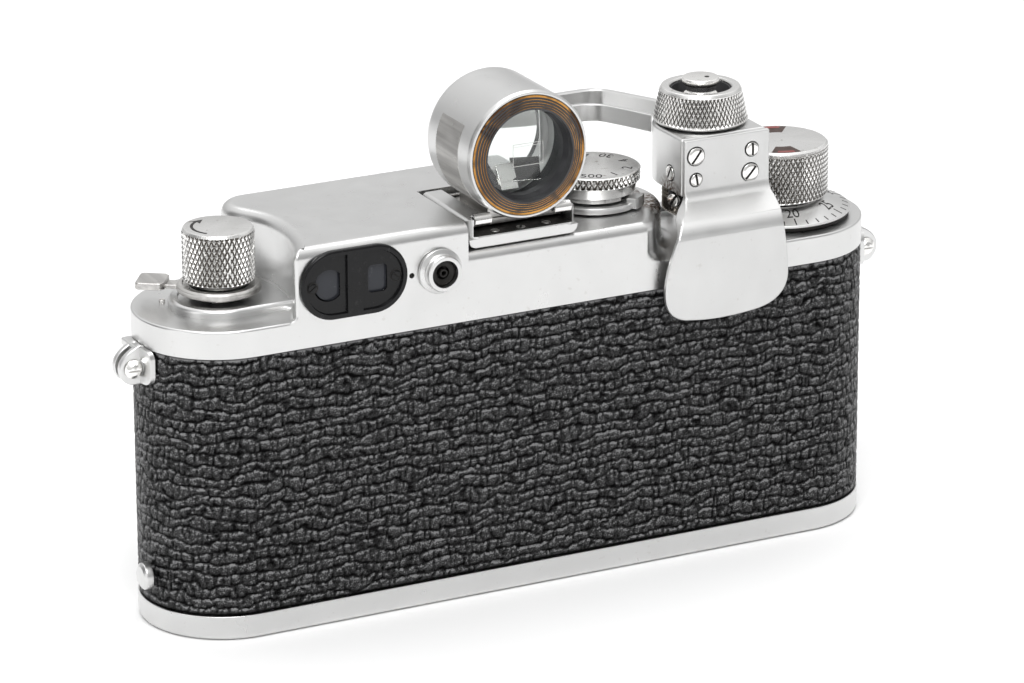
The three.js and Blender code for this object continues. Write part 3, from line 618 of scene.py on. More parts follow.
FINISHES = {
    "satin_chrome": satin_chrome(),
    "brushed_plate": satin_chrome("brushed_plate", 0.44),
    "bright_chrome": bright_chrome(),
    "knurled_chrome": knurled_chrome(),
    # A darker copy of the knurled chrome: painted shade for the lock collar, which sits in shadow under the grip, with
    # some grime.
    "shaded_grimy_chrome": knurled_chrome("shaded_grimy_chrome", (0.30, 0.28, 0.25), (0.10, 0.08, 0.06)),
    "leather": leather(),
    "black_enamel": black_enamel(),
    # This dark finish fills engravings, marks and the flash insert, and also serves as painted shade in holes, gaps,
    # grooves and screw seats.
    "dark_fill_and_shade": black_enamel("dark_fill_and_shade", (0.010, 0.009, 0.008), 0.5),
    "brown_enamel": black_enamel("brown_enamel", (0.035, 0.013, 0.007), 0.4),
    "red_enamel": black_enamel("red_enamel", (0.22, 0.045, 0.04), 0.4),
    "white_line": black_enamel("white_line", (0.80, 0.80, 0.77), 0.5),
    "brass": brass(),
    "aged_brass": aged_brass(),
    "glass": glass(),
    # An opaque glossy dark pane: painted shade for the unlit inside of the finder seen through the eyepieces.
    "eyepiece_shade_glass": black_enamel("eyepiece_shade_glass", (0.030, 0.032, 0.038), 0.08),
    "steel": steel(),
    # This dark finish is also painted shade on the clamp arm under the grip and inside the finger cup.
    "dark_alloy": dark_alloy(),
    "curtain_cloth": curtain_cloth(),
}


# ---- small fittings ------------------------------------------------------------------------
def facing(at, out):
    """The matrix that sets a fitting's Z axis along out, at a place."""
    return Matrix.Translation(at) @ Vector(out).to_track_quat("Z", "Y").to_matrix().to_4x4()


def fit_screw(name, at, r, out, slot_turn, height=0.5, dome=0.22, slot=0.42, finish="bright_chrome", node=(), body="body"):
    """A domed slotted screw with painted shade: a dark ring round its head and a dark block down its slot. slot_turn is
    the slot's angle from level.
    """
    profile = [(0, -0.4), (r, -0.4), (r, height - dome, 0.12), (r * 0.72, height - dome * 0.25, 0.3), (0, height)]
    low = height * 0.3
    groove = block((-r * 1.3, -slot / 2, low), (r * 1.3, slot / 2, height + 1), 0.02)
    matrix = facing(at, out)
    turned = matrix @ Matrix.Rotation(math.radians(slot_turn), 4, "Z")
    head = cut(placed(spun(profile, sides=48, edge=0.05), matrix), placed(groove, turned))
    piece(name, head, finish, node, body=body)
    # Painted shade: a dark ring round the head and a dark block in the slot, where shadow falls.
    seat = spun([(r - 0.1, -0.3), (r + 0.2, -0.3), (r + 0.2, 0.03), (r - 0.1, 0.03)], sides=48, edge=0)
    shadow = block((-r * 0.95, 0.01 - slot / 2, low - 0.1), (r * 0.95, slot / 2 - 0.01, low + 0.03), 0)
    piece(f"{name}_seat", together(placed(seat, matrix), placed(shadow, turned)), "dark_fill_and_shade", body=body)


# ---- top cover -----------------------------------------------------------------------------
def housing_outline(inset=0.0):
    """The high housing: its left side bows in round the rewind knob. It reaches past the cuts at its right end."""
    front = HOUSING_FRONT
    side = outline(
        (-46.2, REAR, 1.0), (-10, REAR), (-10, 1), (11, 1), (11, front),
        bezier((-41, front), (-44, front), (-46.4, 16), (-46.3, 13)),
        bezier((-46.3, 13), (-46.3, 9), (-42.3, 8), (-42.3, 0)),
        bezier((-42.3, 0), (-42.3, -8), (-46.2, REAR + 0.4), steps=10)[:-1],
    )
    return shifted(side, inset)


def shoe_deck_outline(inset=0.0):
    """The middle deck: a straight back and a round right end about the speed dial."""
    x, y, r, turn = 17.2, 1.4, 12.1, 51.6
    lower, upper = arc(x, y, r, -turn, turn, 1)
    side = outline(
        (-15, REAR),
        bezier((19.4, REAR), (22.6, -13.8), lower), arc(x, y, r, -turn, turn, 30),
        bezier(upper, (22, HOUSING_FRONT), (17.5, HOUSING_FRONT)), (-15, HOUSING_FRONT),
    )
    return shifted(side, inset)


def walled(points, low, deck, top, rim, fillet):
    """A raised part of the cover: a concave fillet on its deck, a wall and a rounded rim."""
    turn = np.linspace(0, math.pi / 2, 7)
    foot = [(deck + fillet * (1 - math.cos(t)), -fillet * (1 - math.sin(t))) for t in turn]
    levels = [(low, -fillet)] + foot + rims(low, top, 0, rim, 8)[1:]
    points, faces = prism(points, levels)
    points[:, 1] = np.clip(points[:, 1], REAR, HOUSING_FRONT)
    return points, faces


PLATEAU_R = 8.6


def plateau_outline(inset=0.0):
    r = PLATEAU_R
    return shifted(outline(arc(REWIND_X, 0, r, 90, 270, 40), (-40, -r), (-40, r)), inset)


def top_cover():
    """One pressed shell with its decks, hollow inside, with holes for the shafts, windows and eyepieces."""
    low = COVERING_TOP
    rim = prism(body_outline(), rims(low, DECK, 0, 0.4, 5))
    housing = cut(
        walled(housing_outline(), low, DECK, HOUSING_TOP, 1.9, 0.9),
        block((-14.2, REAR - 2, DECK - 8), (15, 4.9, HOUSING_TOP + 5), 0),
        block((8.2, REAR - 2, DECK - 8), (15, HOUSING_FRONT + 2, HOUSING_TOP + 5), 0),
    )
    deck = walled(shoe_deck_outline(), low, DECK, SHOE_DECK, 1.7, 2.2)
    plateau = prism(plateau_outline(), [(DECK - 1, 0.0)] + rims(DECK, DECK + 1.5, 0, 0.75, 6)[1:])
    recess = prism(plateau_outline(1.5), [(DECK + 1.15, 0.25), (DECK + 1.5, 0.0), (DECK + 1.55, -0.2)])
    recess_keep = prism(housing_outline(-0.4), [(DECK - 1, 0.0), (DECK + 6, 0.0)])
    plateau = cut(plateau, cut(recess, recess_keep))
    boss = spun([(0, DECK - 1), (3, DECK - 1), (3, DECK + 1.7, 0.4), (0, DECK + 1.7)], x=RELEASE_X)
    shell = union(rim, housing, deck, plateau, boss)
    hollow = [
        prism(body_outline(SHEET), [(low - 1, 0.0), (DECK - SHEET, 0.0)]),
        cut(
            prism(housing_outline(SHEET + 0.4), [(low + SHEET, 0.0), (HOUSING_TOP - SHEET, 0.0)]),
            block((-15.2, REAR - 2, DECK - 8), (15, 5.9, HOUSING_TOP + 5), 0),
            block((7.2, REAR - 2, DECK - 8), (15, HOUSING_FRONT + 2, HOUSING_TOP + 5), 0),
        ),
        prism(shoe_deck_outline(SHEET + 0.4), [(low + SHEET, 0.0), (SHOE_DECK - SHEET, 0.0)]),
    ]
    shafts = [(REWIND_X, 2.9), (WIND_X, 2.9), (SPEED_X, 2.9), (RELEASE_X, 2.4)]
    holes = [spun([(0, 40), (r, 40), (r, 75), (0, 75)], x=x, edge=0, sides=40) for x, r in shafts]
    through = [(REAR - 1, 0.0), (REAR + 3, 0.0)]
    holes.append(prism(slot_outline(15, 7.4, EYE_X, EYE_Z), through, "XZ"))
    holes.append(prism(circle(SOCKET_X, SOCKET_Z, 2.9), through, "XZ"))
    holes.append(prism(circle(-24.7, 59.5, 0.48, 24), [(REAR - 1, 0.0), (REAR + 0.8, 0.0)], "XZ"))
    front = [(HOUSING_FRONT - 3, 0.0), (HOUSING_FRONT + 1, 0.0)]
    for node in ("rangefinder_window_outer", "rangefinder_window_inner"):
        x, _, z = centre(node)
        holes.append(prism(circle(x, z, 3.6), front, "XZ"))
    holes.append(prism(outline((-28.5, 56.5), (-19.5, 56.5), (-19.5, 63.5), (-28.5, 63.5), edge=0.3), front, "XZ"))
    return cut(shell, *hollow, *holes)


# ---- leather covering ----------------------------------------------------------------------
def waves(rng, u, v, size, count=9):
    """A smooth random field in about -1..1, with swells of the given size."""
    total = np.zeros_like(u)
    for _ in range(count):
        angle, phase = rng.uniform(0, 2 * math.pi, 2)
        pitch = 2 * math.pi / (size * rng.uniform(0.7, 1.6))
        total += np.sin((u * math.cos(angle) + v * math.sin(angle)) * pitch + phase)
    return total / math.sqrt(count)


def cells(rng, u, v):
    """The gap between the nearest and second nearest of randomly placed points, one to each unit square."""
    cols, rows = int(np.ceil(u.max())) + 4, int(np.ceil(v.max())) + 4
    jitter = rng.uniform(0.08, 0.92, (cols, rows, 2))
    iu, iv = np.floor(u).astype(int), np.floor(v).astype(int)
    first, second = np.full(u.shape, 9.0), np.full(u.shape, 9.0)
    for du in (-1, 0, 1, 2):
        for dv in (-1, 0, 1, 2):
            a, b = np.clip(iu + du, 0, cols - 1), np.clip(iv + dv, 0, rows - 1)
            gap = np.hypot(a + jitter[a, b, 0] - u, b + jitter[a, b, 1] - v)
            second = np.minimum(second, np.maximum(first, gap))
            first = np.minimum(first, gap)
    return second - first


def crease(phase, width):
    """0 in the crease at each whole number, 1 on the hill between two."""
    gap = 0.5 - np.abs(phase % 1 - 0.5)
    return np.clip(gap / width, 0, 1) ** 0.7


def leather_grain(s, z):
    """Depth of the grain, 0 to 1: long wandering rows of pillows, split by short upright creases."""
    rng = np.random.default_rng(35)
    row = z / 1.95 + 0.22 * waves(rng, s, 1.7 * z, 10.0) + 0.10 * waves(rng, s, z, 2.4)
    offset = rng.uniform(0, 1, 200)[np.clip(np.floor(row).astype(int) + 50, 0, 199)]
    column = s / 1.5 + 3 * offset + 0.34 * waves(rng, s, z, 2.6)
    split = 0.74 + 0.26 * np.clip(waves(rng, s, z, 3.5), -1, 1)
    fine = np.clip(cells(rng, s / 1.0 + 3, z / 0.8 + 3) / 0.3, 0, 1)
    pillows = crease(row, 0.15) * (1 - split * (1 - crease(column, 0.24)))
    return 1 - (0.80 * pillows + 0.20 * fine)


def leather_cover():
    """A wrap of coarse leather round the body, with its grain in the mesh, open round the lens."""
    pitch = 0.32
    thick = 0.6
    r = GRAIN_TOP
    straight = RIGHT - LEFT - 2 * END_R
    half = straight / 2
    length = 2 * straight + 2 * math.pi * r
    count = int(length / pitch)
    s = np.arange(count) * length / count
    turn = math.pi * r
    # from the front's middle to the left, round the left end, along the back and round the right end
    stretches = [
        (half + LENS_X, lambda t: (LENS_X - t, r + 0 * t, 0 * t, 1 + 0 * t)),
        (turn, lambda t: (-half - r * np.sin(t / r), r * np.cos(t / r), -np.sin(t / r), np.cos(t / r))),
        (straight, lambda t: (-half + t, -r + 0 * t, 0 * t, -1 + 0 * t)),
        (turn, lambda t: (half + r * np.sin(t / r), -r * np.cos(t / r), np.sin(t / r), -np.cos(t / r))),
        (half - LENS_X, lambda t: (half - t, r + 0 * t, 0 * t, 1 + 0 * t)),
    ]
    spots = []
    start = 0.0
    for run, place in stretches:
        inside = (s >= start - 1e-9) & (s < start + run - 1e-9)
        spots.append(np.stack(place(s[inside] - start), -1))
        start += run
    x, y, nx, ny = np.vstack(spots).T
    rows = int((COVER_HIGH - COVER_LOW) / (0.8 * pitch))
    z = np.linspace(COVER_LOW, COVER_HIGH, rows + 1)
    s = s[: len(x)]
    grain = leather_grain(s[:, None] + 0 * z, z + 0 * s[:, None])
    rim = np.clip(np.minimum(z - COVER_LOW, COVER_HIGH - z) / 0.5, 0, 1)
    sunk = GRAIN_DEPTH * grain * rim + 0.25 * (1 - rim) ** 2
    outer = np.stack([x[:, None] - nx[:, None] * sunk, y[:, None] - ny[:, None] * sunk, z + 0 * sunk], -1)
    back = np.stack([x - nx * thick, y - ny * thick, 0 * x], -1)[:, None, :].repeat(2, 1)
    back[:, 0, 2], back[:, 1, 2] = COVER_HIGH, COVER_LOW
    wrap = skin(np.concatenate([outer, back], 1), loop=True)
    lens = spun([(0, 5), (22.6, 5), (22.6, 20), (0, 20)], LENS_X, 0, LENS_Z, "Y", 128, 0)
    shaft = spun([(0, 5), (2.7, 5), (2.7, 20), (0, 20)], DIAL_X, 0, DIAL_Z, "Y", 48, 0)
    return cut(wrap, lens, shaft)


# ---- base plate and its lock ---------------------------------------------------------------
def base_plate():
    tray = prism(body_outline(), rims(0, BASE_TOP, 0.9, 0.15, 6))
    pocket = prism(body_outline(1), [(1.4, 0.0), (BASE_TOP + 4, 0.0)])
    trap = cut(
        prism(body_outline(2.5), rims(1, 7, 0, 0.15, 2)),
        prism(body_outline(3.4), [(0.5, 0.0), (8, 0.0)]),
    )
    recesses = [
        spun([(0, low), (r, low), (r, 3), (0, 3)], x=x, edge=0)
        for x, r, low in ((KEY_X, 8.5, -0.5), (BUSH_X, 6.3, -1))
    ]
    return cut(union(cut(tray, pocket), trap), *recesses)


def base_key():
    disc = spun([(0, 0.25), (8.2, 0.25, 0.25), (8.2, 1.2), (0, 1.2)], x=KEY_X)
    cam = union(
        spun([(0, 1), (2.6, 1), (2.6, 3.4), (0, 3.4)], x=KEY_X, edge=0.1),
        block((KEY_X - 8, -1.6, 2.4), (KEY_X, 1.6, 3.4), 0.2),
    )
    ring = spun([(4.6, -1), (6.6, -1), (6.6, 0.6), (4.6, 0.6)], x=KEY_X, edge=0.05)
    left_half = block((KEY_X - 9, -9, -1.5), (KEY_X - 0.9, 9, 1), 0)
    return cut(union(disc, cam), shared(ring, left_half))


def base_key_bail():
    """The half-round wire that lifts out of the key to turn it."""
    turn = np.radians(np.linspace(100, 260, 41))
    ring = np.linspace(0, 2 * math.pi, 13)[:-1]
    rings = [
        [(KEY_X + (5.6 + 0.42 * math.cos(a)) * math.cos(t), (5.6 + 0.42 * math.cos(a)) * math.sin(t),
          0.50 + 0.33 * math.sin(a)) for a in ring]
        for t in turn
    ]
    return skin(rings, caps=True)


def tripod_bush():
    thread = [(3.1, z) if k % 2 else (2.75, z) for k, z in enumerate(np.arange(0.6, 5.4, 0.32))]
    wall = [(0, 5.6)] + [(3.1, 5.6)] + thread[::-1] + [(3.35, 0.25), (6, 0.25, 0.2), (6, 1.2), (5, 1.2), (5, 6.5), (0, 6.5)]
    return spun([(r, h) if len(rest) == 0 else (r, h, *rest) for r, h, *rest in wall], x=BUSH_X, edge=0)


def base_stud():
    profile = [(0, 0), (1.5, 0), (1.5, 0.35), (2.3, 0.35), (2.3, 1.5, 0.3), (1.7, 1.9, 0.3), (0, 2)]
    low, high = span("base_stud")
    return spun([(r, -h, *rest) for r, h, *rest in profile], high[0], *((low + high) / 2)[1:], "X", 48, 0.1)


# ---- strap lugs ----------------------------------------------------------------------------
LUG_X, LUG_PIN_R = 69.7, 1.65
LUG_Y, LUG_Z = span("lug_pin_right")[1][1] - 1.9, centre("lug_pin_right")[2]


def lug_ear(rear, front):
    ear = outline(
        bezier((-2.6, 2.2), (-1.6, -1.6), (-1.7, -2.9)), (0.6, -2.8),
        bezier((0.6, -2.8), (2.6, -2.2), (2.6, 0.2)), bezier((2.6, 0.2), (2.3, 2.6), (-1.2, 3.9)), (-2.2, 3.6),
    )
    return prism(ear, rims(rear, front, 0.22, 0.1, 3), "XZ")


def strap_lug(side):
    """Two ears and a bridge over them, on a flange that follows the body's round end."""
    end_x, end_y = RIGHT - END_R - LUG_X, -LUG_Y
    flange = shared(
        prism(outline((-4.8, -2.6), (1.5, -2.6), (1.5, 3.5), (-4.8, 3.5), edge=1.6), [(-3.5, 0.0), (0.5, 0.0)], "YZ"),
        spun([(0, -3), (END_R + 0.9, -3, 0.3), (END_R + 0.9, 4, 0.3), (0, 4)], end_x, end_y, sides=160),
    )
    bridge = block((-2.4, -1.9, 2.3), (-0.2, 4.2, 3.7), 0.3)
    body_end = spun([(0, -8), (END_R + 0.12, -8), (END_R + 0.12, 8), (0, 8)], end_x, end_y, edge=0, sides=160)
    bore = spun([(0, -5), (1.2, -5), (1.2, 8), (0, 8)], 0.2, axis="Y", edge=0, sides=32)
    seat = spun([(0, -6), (1.85, -6), (1.85, -1.9), (0, -1.9)], 0.2, axis="Y", edge=0, sides=48)
    return mirrored(cut(union(lug_ear(-1.9, -0.8), lug_ear(0.5, 1.5), bridge, flange), body_end, bore, seat), side)


def lug_pin(side):
    r = LUG_PIN_R
    profile = [(0, -3.1), (0.9, -2.95, 0.6), (r, -2.2, 0.2), (r, -2.05), (0.95, -2.05), (0.95, 1.9, 0.2), (0, 1.9)]
    pin = cut(
        spun(profile, 0.2, axis="Y", sides=48, edge=0.05),
        block((-2, -4, -0.22), (2.4, -2.62, 0.22), 0.02),
    )
    return mirrored(pin, side)


def mirrored(made, side):
    """Moves a lug's piece to its end of the body; the left one is a mirror image."""
    spot = Matrix.Translation(Vector((side * LUG_X, LUG_Y, LUG_Z)) * MM)
    made.data.transform(spot @ Matrix.Diagonal((side, 1, 1, 1)))
    if side < 0:
        made.data.flip_normals()
    return made


# ---- rear of the housing -------------------------------------------------------------------
def eyepiece_plate():
    """An enamelled plate: a flat rim, a sunk face with a rib down its middle, and the two eye windows."""
    face = REAR - 1
    plate = prism(slot_outline(19.4, 12, EYE_X, EYE_Z, 40), rims(face, REAR - 0.15, 0.45, 0, 6), "XZ")
    sunk = prism(slot_outline(17.6, 10.2, EYE_X, EYE_Z, 40), [(face - 1, -0.1), (face, 0.0), (face + 0.5, 0.15)], "XZ")
    rib = prism(outline((EYE_X - 1.4, EYE_Z - 6), (EYE_X + 1.4, EYE_Z - 6), (EYE_X + 1.4, EYE_Z + 6),
                        (EYE_X - 1.4, EYE_Z + 6)), [(face - 2, 0.0), (face + 0.15, 0.0), (face + 0.9, -0.15)], "XZ")
    through = [(face - 1, 0.0), (REAR + 1, 0.0)]
    round_eye = shared(
        prism(circle(EYE_X - 4.6, EYE_Z, 2.75), through, "XZ"),
        prism(outline((EYE_X - 9, EYE_Z - 4), (EYE_X - 2.6, EYE_Z - 4), (EYE_X - 2.6, EYE_Z + 4), (EYE_X - 9, EYE_Z + 4)),
              [(face - 2, 0.0), (REAR + 2, 0.0)], "XZ"),
    )
    x = EYE_X + 4.1
    square_eye = prism(outline((x - 1.6, EYE_Z - 2.4), (x + 1.9, EYE_Z - 2.4), (x + 1.9, EYE_Z + 2.4),
                               (x - 1.6, EYE_Z + 2.4), edge=0.8), through, "XZ")
    screws = [prism(circle(EYE_X + dx, EYE_Z, 0.95, 32), [(face, 0.0), (face + 0.6, 0.0)], "XZ") for dx in (-7.6, 7.6)]
    return cut(plate, cut(sunk, rib), round_eye, square_eye, *screws)


def hole_shade_disc():
    """A dark disc at the bottom of the adjustment hole: painted shade."""
    return spun([(0, REAR + 0.3), (0.62, REAR + 0.3), (0.62, REAR + 1.2), (0, REAR + 1.2)], -24.7, 0, 59.5, "Y", 24, 0.02)


def flash_socket():
    profile = [
        (2.35, -17.4), (3, -17.4, 0.15), (3.15, -17.1, 0.1), (3.15, -16.5), (3.0, -16.35), (3.15, -16.2), (3.15, -15.9),
        (3.9, -15.6, 0.15), (3.9, REAR - 0.1), (2.75, REAR - 0.1), (2.75, REAR + 2.4), (2.35, REAR + 2.4),
    ]
    return spun(profile, SOCKET_X, 0, SOCKET_Z, "Y", 80, 0.06)


def socket_core():
    """The dark insert of the flash socket with its centre contact."""
    face = -16.6
    return together(
        spun([(0, -13.4), (2.28, -13.4), (2.28, face + 0.3), (1.9, face, 0.1), (1.15, face + 0.25), (1.1, face + 1.4), (0, face + 1.4)],
             SOCKET_X, 0, SOCKET_Z, "Y", 48, 0.05),
        spun([(0.42, face + 1.3), (0.72, face + 1.3), (0.72, face - 0.1, 0.08), (0.42, face - 0.1)],
             SOCKET_X, 0, SOCKET_Z, "Y", 32, 0.03),
    )


# ---- front of the housing ------------------------------------------------------------------
def window_rim(x, z):
    y = HOUSING_FRONT
    return spun([(3.05, y - 1.2), (3.5, y - 1.2), (3.5, y + 0.08), (4.2, y + 0.08), (4.2, y + 0.75, 0.2), (3.4, y + 0.8, 0.2)],
                x, 0, z, "Y", 72, 0.05)


def window_pane(x, z, r):
    y = HOUSING_FRONT
    return spun([(0, y - 2.4), (r, y - 2.4), (r, y - 0.9, 0.15), (r * 0.6, y - 0.75), (0, y - 0.7)], x, 0, z, "Y", 48, 0.05)


# ---- accessory shoe ------------------------------------------------------------------------
def accessory_shoe():
    """A folded channel: floor, sides and two rails, with a rounded mouth."""
    (left, rear, low), (right, front, top) = SHOE_LOW, SHOE_HIGH
    floor = low + 2.0
    inner = top - 0.8
    section = outline(
        (left, low, 1.5), (right, low, 1.5), (right, top, 0.85), (right - 3.8, top, 0.3), (right - 3.8, inner, 0.2),
        (right - 1, inner, 0.45), (right - 1, floor, 0.1), (left + 1, floor, 0.1), (left + 1, inner, 0.45),
        (left + 3.8, inner, 0.2), (left + 3.8, top, 0.3), (left, top, 0.85),
    )
    channel = prism(section, rims(rear, front, 0.22, 0.22, 3), "XZ")
    corner = 2.2
    cutters = []
    for side, edge_x in ((1, left), (-1, right)):
        shape = outline((edge_x - side, rear - 1), (edge_x + side * corner, rear - 1),
                        arc(edge_x + side * corner, rear + corner, corner, -90, -90 - side * 90, 12),
                        (edge_x - side, rear + corner))
        cutters.append(prism(shape, [(floor - 0.4, 0.0), (top + 1, 0.0)]))
    notches = [
        block((low_x, rear - 1, inner - 0.4), (high_x, rear + 2.1, top + 1), 0.1)
        for low_x, high_x in ((left + 1.1, left + 4.5), (right - 4.5, right - 1.1))
    ]
    return cut(channel, *cutters, *notches)


def shoe_floor():
    """A dark plate on the floor between the rails."""
    (left, rear, low), (right, front, _) = SHOE_LOW, SHOE_HIGH
    return block((left + 1.05, rear + 0.15, low + 1.98), (right - 1.05, front - 0.3, low + 2.13), 0.04)


def shoe_spring():
    """Two leaves under the rails, bridged at the front, each rolled up at its rear end."""
    (left, rear, _), (right, front, top) = SHOE_LOW, SHOE_HIGH
    high = top - 0.9
    shapes = [block((left + 1.15, front - 1, high - 0.25), (right - 1.15, front - 0.25, high), 0.05)]
    for low_x, high_x in ((left + 1.25, left + 4.3), (right - 4.3, right - 1.25)):
        line = np.vstack([
            [(front - 0.3, high - 0.16), (rear + 1.6, high - 0.16)], arc(rear + 1.0, high + 0.64, 0.8, 262, -10, 22),
        ])
        step = np.gradient(line, axis=0)
        normal = np.c_[-step[:, 1], step[:, 0]] / np.linalg.norm(step, axis=1)[:, None] * 0.2
        edge = np.vstack([line + normal, (line - normal)[::-1]])
        shapes.append(skin([np.c_[np.full(len(edge), x), edge] for x in (low_x, high_x)], caps=True))
    return together(*shapes)


# ---- clip-on finder ------------------------------------------------------------------------
FINDER_REAR = span("finder_barrel")[0][1]
FINDER_FRONT = span("finder_barrel")[1][1]
FINDER_R = 11.15
# the eye ring's steps: inner radius, outer radius and face
EYE_STEPS = ((7.95, 8.4, -15.1), (8.4, 8.8, -14.98), (8.8, 9.2, -14.86), (9.2, 9.7, -14.74), (9.7, 10.42, -14.6))


def on_finder(profile, sides=128, edge=0.1):
    return spun(profile, FINDER_X, 0, FINDER_Z, "Y", sides, edge)


def finder_barrel():
    rear, front, r = FINDER_REAR, FINDER_FRONT, FINDER_R
    return on_finder([
        (9.35, -13.1), (10.45, -13.4), (10.45, rear + 0.1), (10.5, rear), (10.85, rear, 0.1), (r, rear + 0.7, 0.5),
        (r, front - 0.9, 0.7), (10.8, front, 0.3), (9.8, front, 0.2), (9.35, front - 0.5),
    ], edge=0.04)


def finder_eye_ring():
    """Steps that stand out towards the eye glass."""
    profile = [(10.42, -13.5), (9.25, -13.3), (9.25, -10.95), (7.5, -10.95), (7.5, -12.5), (7.95, -13.6)]
    for inner, outer, y in EYE_STEPS[:-1]:
        profile += [(inner, y, 0.04), (outer, y, 0.04)]
    return on_finder([*profile, (9.7, -14.6), (10.42, -14.42, 0.05)], edge=0.03)


def eye_ring_edges():
    """Bare brass on the outer edge of each step, where the black paint has worn off."""
    shapes = []
    for outer, y, bare in ((8.4, -15.1, 0.06), (8.8, -14.98, 0.07), (9.2, -14.86, 0.09), (9.7, -14.74, 0.11), (10.34, -14.5, 0.40)):
        low, high = outer - bare, outer + 0.015
        shapes.append(on_finder([(low, y - 0.025), (high, y - 0.025), (high, y + 0.12), (low, y + 0.12)], edge=0.02))
    return together(*shapes)


def finder_grip():
    """A patch of fine slanted lines on the left of the barrel."""
    turn = np.radians(np.linspace(151, 238, 260))
    inner = turn[::-4]
    rings = []
    for y in np.linspace(-10.2, -2.05, 140):
        lines = np.abs(((y * 1.1 + turn * FINDER_R) / 0.5) % 1 - 0.5) * 2
        r = np.r_[FINDER_R + 0.01 + 0.08 * lines, np.full(len(inner), FINDER_R - 0.2)]
        angle = np.r_[turn, inner]
        rings.append(np.c_[FINDER_X + r * np.cos(angle), np.full(len(r), y), FINDER_Z + r * np.sin(angle)])
    return skin(rings, caps=True)


def frame_outline(half_width, dx, dz, half_height, edge=0.3):
    x, z = FINDER_X + dx, FINDER_Z + dz
    return outline((x - half_width, z - half_height), (x + half_width, z - half_height),
                   (x + half_width, z + half_height), (x - half_width, z + half_height), edge=edge)


def finder_mask():
    """The plate that frames the view, near the front glass."""
    y = -2.9
    plate = on_finder([(0, y), (8.9, y), (8.9, y + 0.4), (0, y + 0.4)], edge=0.05)
    return cut(plate, prism(frame_outline(7.4, 0, 0, 6.0), [(y - 1, 0.0), (y + 1, 0.0)], "XZ"))


def finder_mirrors():
    """Tilted mirrors in the lower half of the barrel, one plate on each side of a dark wedge."""
    plates = []
    for dx, turn, tilt in ((-4.4, 24, 52), (3.2, -18, 38)):
        spin = Matrix.Rotation(math.radians(turn), 4, "Z") @ Matrix.Rotation(math.radians(tilt), 4, "X")
        at = Matrix.Translation((FINDER_X + dx, -6.2, FINDER_Z - 4.9))
        plates.append(placed(block((-2.4, -2.4, -0.1), (2.4, 2.4, 0.1), 0.05), at @ spin))
    return together(*plates)


def finder_wedge():
    """The dark block between the mirrors."""
    side = outline((-8.0, -7.6), (-3.4, -7.6), (-3.4, -5.0), (-5.6, -3.6), edge=0.1)
    shape = prism(side + (0, FINDER_Z, 0), rims(FINDER_X - 2.0, FINDER_X + 1.2, 0.1, 0.1, 2), "YZ")
    return shape


def bright_lines():
    """The bright-line frame that floats in the view."""
    y, dx, dz = -11.3, 1.5, -0.9
    frame_line = cut(prism(frame_outline(2.85, dx, dz, 1.95, 0.1), rims(y - 0.05, y + 0.05, 0.02, 0.02, 1), "XZ"),
                     prism(frame_outline(2.78, dx, dz, 1.88, 0.05), [(y - 0.5, 0.0), (y + 0.5, 0.0)], "XZ"))
    low, high = FINDER_X + dx - 2.8, FINDER_X + dx + 2.8
    mark = block((low, y - 0.03, FINDER_Z + dz + 1.45), (high, y + 0.03, FINDER_Z + dz + 1.51), 0.02)
    return together(shape_of(frame_line), mark)


def finder_foot():
    low, high = span("finder_foot")
    plate = block((low[0], low[1] + 3.6, low[2]), (high[0], high[1], low[2] + 1.2), 0.2)
    stem = block((FINDER_X - 5.4, -9.6, low[2] + 0.8), (FINDER_X + 5.4, 1, 70), 0.3)
    barrel = on_finder([(0, -30), (FINDER_R + 0.12, -30), (FINDER_R + 0.12, 30), (0, 30)], edge=0)
    return cut(union(plate, stem), barrel)


# ---- rewind side ---------------------------------------------------------------------------
def rewind_knob():
    knurl = Knurl(59.3, 67.75, 42, 0.38, row=0.88, grid=8, worn=0.92)
    return spun([
        (0, 44.4), (2.2, 44.4), (2.2, 58), (4.6, 58), (4.6, 58.9), (5.7, 58.95), (6.1, 59.35), (6.1, 67.7),
        (5.75, 68.15), (5.3, 68.2), (0, 68.2),
    ], x=REWIND_X, sides=knurl.sides(), edge=0.06, relief=knurl)


def rewind_arrow():
    """An engraved arrow that shows which way to rewind."""
    top = 68.2
    band = np.vstack([arc(0, 0, 4.6, 222, 122, 20), arc(0, 0, 4.1, 122, 222, 20)])
    corners = ((4.3, 102), (5.35, 130), (4.3, 122), (3.3, 130))
    head = [(r * math.cos(math.radians(turn)), r * math.sin(math.radians(turn))) for r, turn in corners]
    levels = [(top - 0.15, 0.0), (top + 0.015, 0.0)]
    shapes = [prism(outline(band), levels), prism(outline(*head), levels)]
    return placed(together(*shapes), Matrix.Translation((REWIND_X, 0, 0)))


def dioptre_lever():
    angle = 2.54
    reach = 12.6
    turn = Matrix.Translation((REWIND_X, 0, 0)) @ Matrix.Rotation(angle, 4, "Z")
    arm = outline((0, -1.4), (reach - 3, -1.4), (reach - 3, 1.4), (0, 1.4), edge=0.1)
    tab = outline(
        (reach - 3.8, -2.2, 0.4), (reach - 3.1, -2.9, 0.5), (reach + 1.2, -2.9, 0.8), (reach + 1.2, 2.9, 0.8),
        (reach - 3.1, 2.9, 0.5), (reach - 3.8, 2.2, 0.4),
    )
    lever = union(
        spun([(4.9, 56.6), (5.4, 56.6), (5.4, 57.3), (7.1, 57.3, 0.15), (7.1, 58.15, 0.2), (6.7, 58.5, 0.15),
              (6.2, 58.5), (6.0, 58.2), (5.05, 58.2), (5.05, 57.8), (4.9, 57.7)], x=REWIND_X, edge=0.05),
        placed(prism(arm, rims(57.3, 58.0, 0.12, 0.2, 3)), turn),
        placed(prism(tab, rims(57.4, 58.6, 0.15, 0.3, 3)), turn),
    )
    bore = spun([(0, 50), (5, 50), (5, 60), (0, 60)], x=REWIND_X, edge=0)
    return cut(lever, bore)


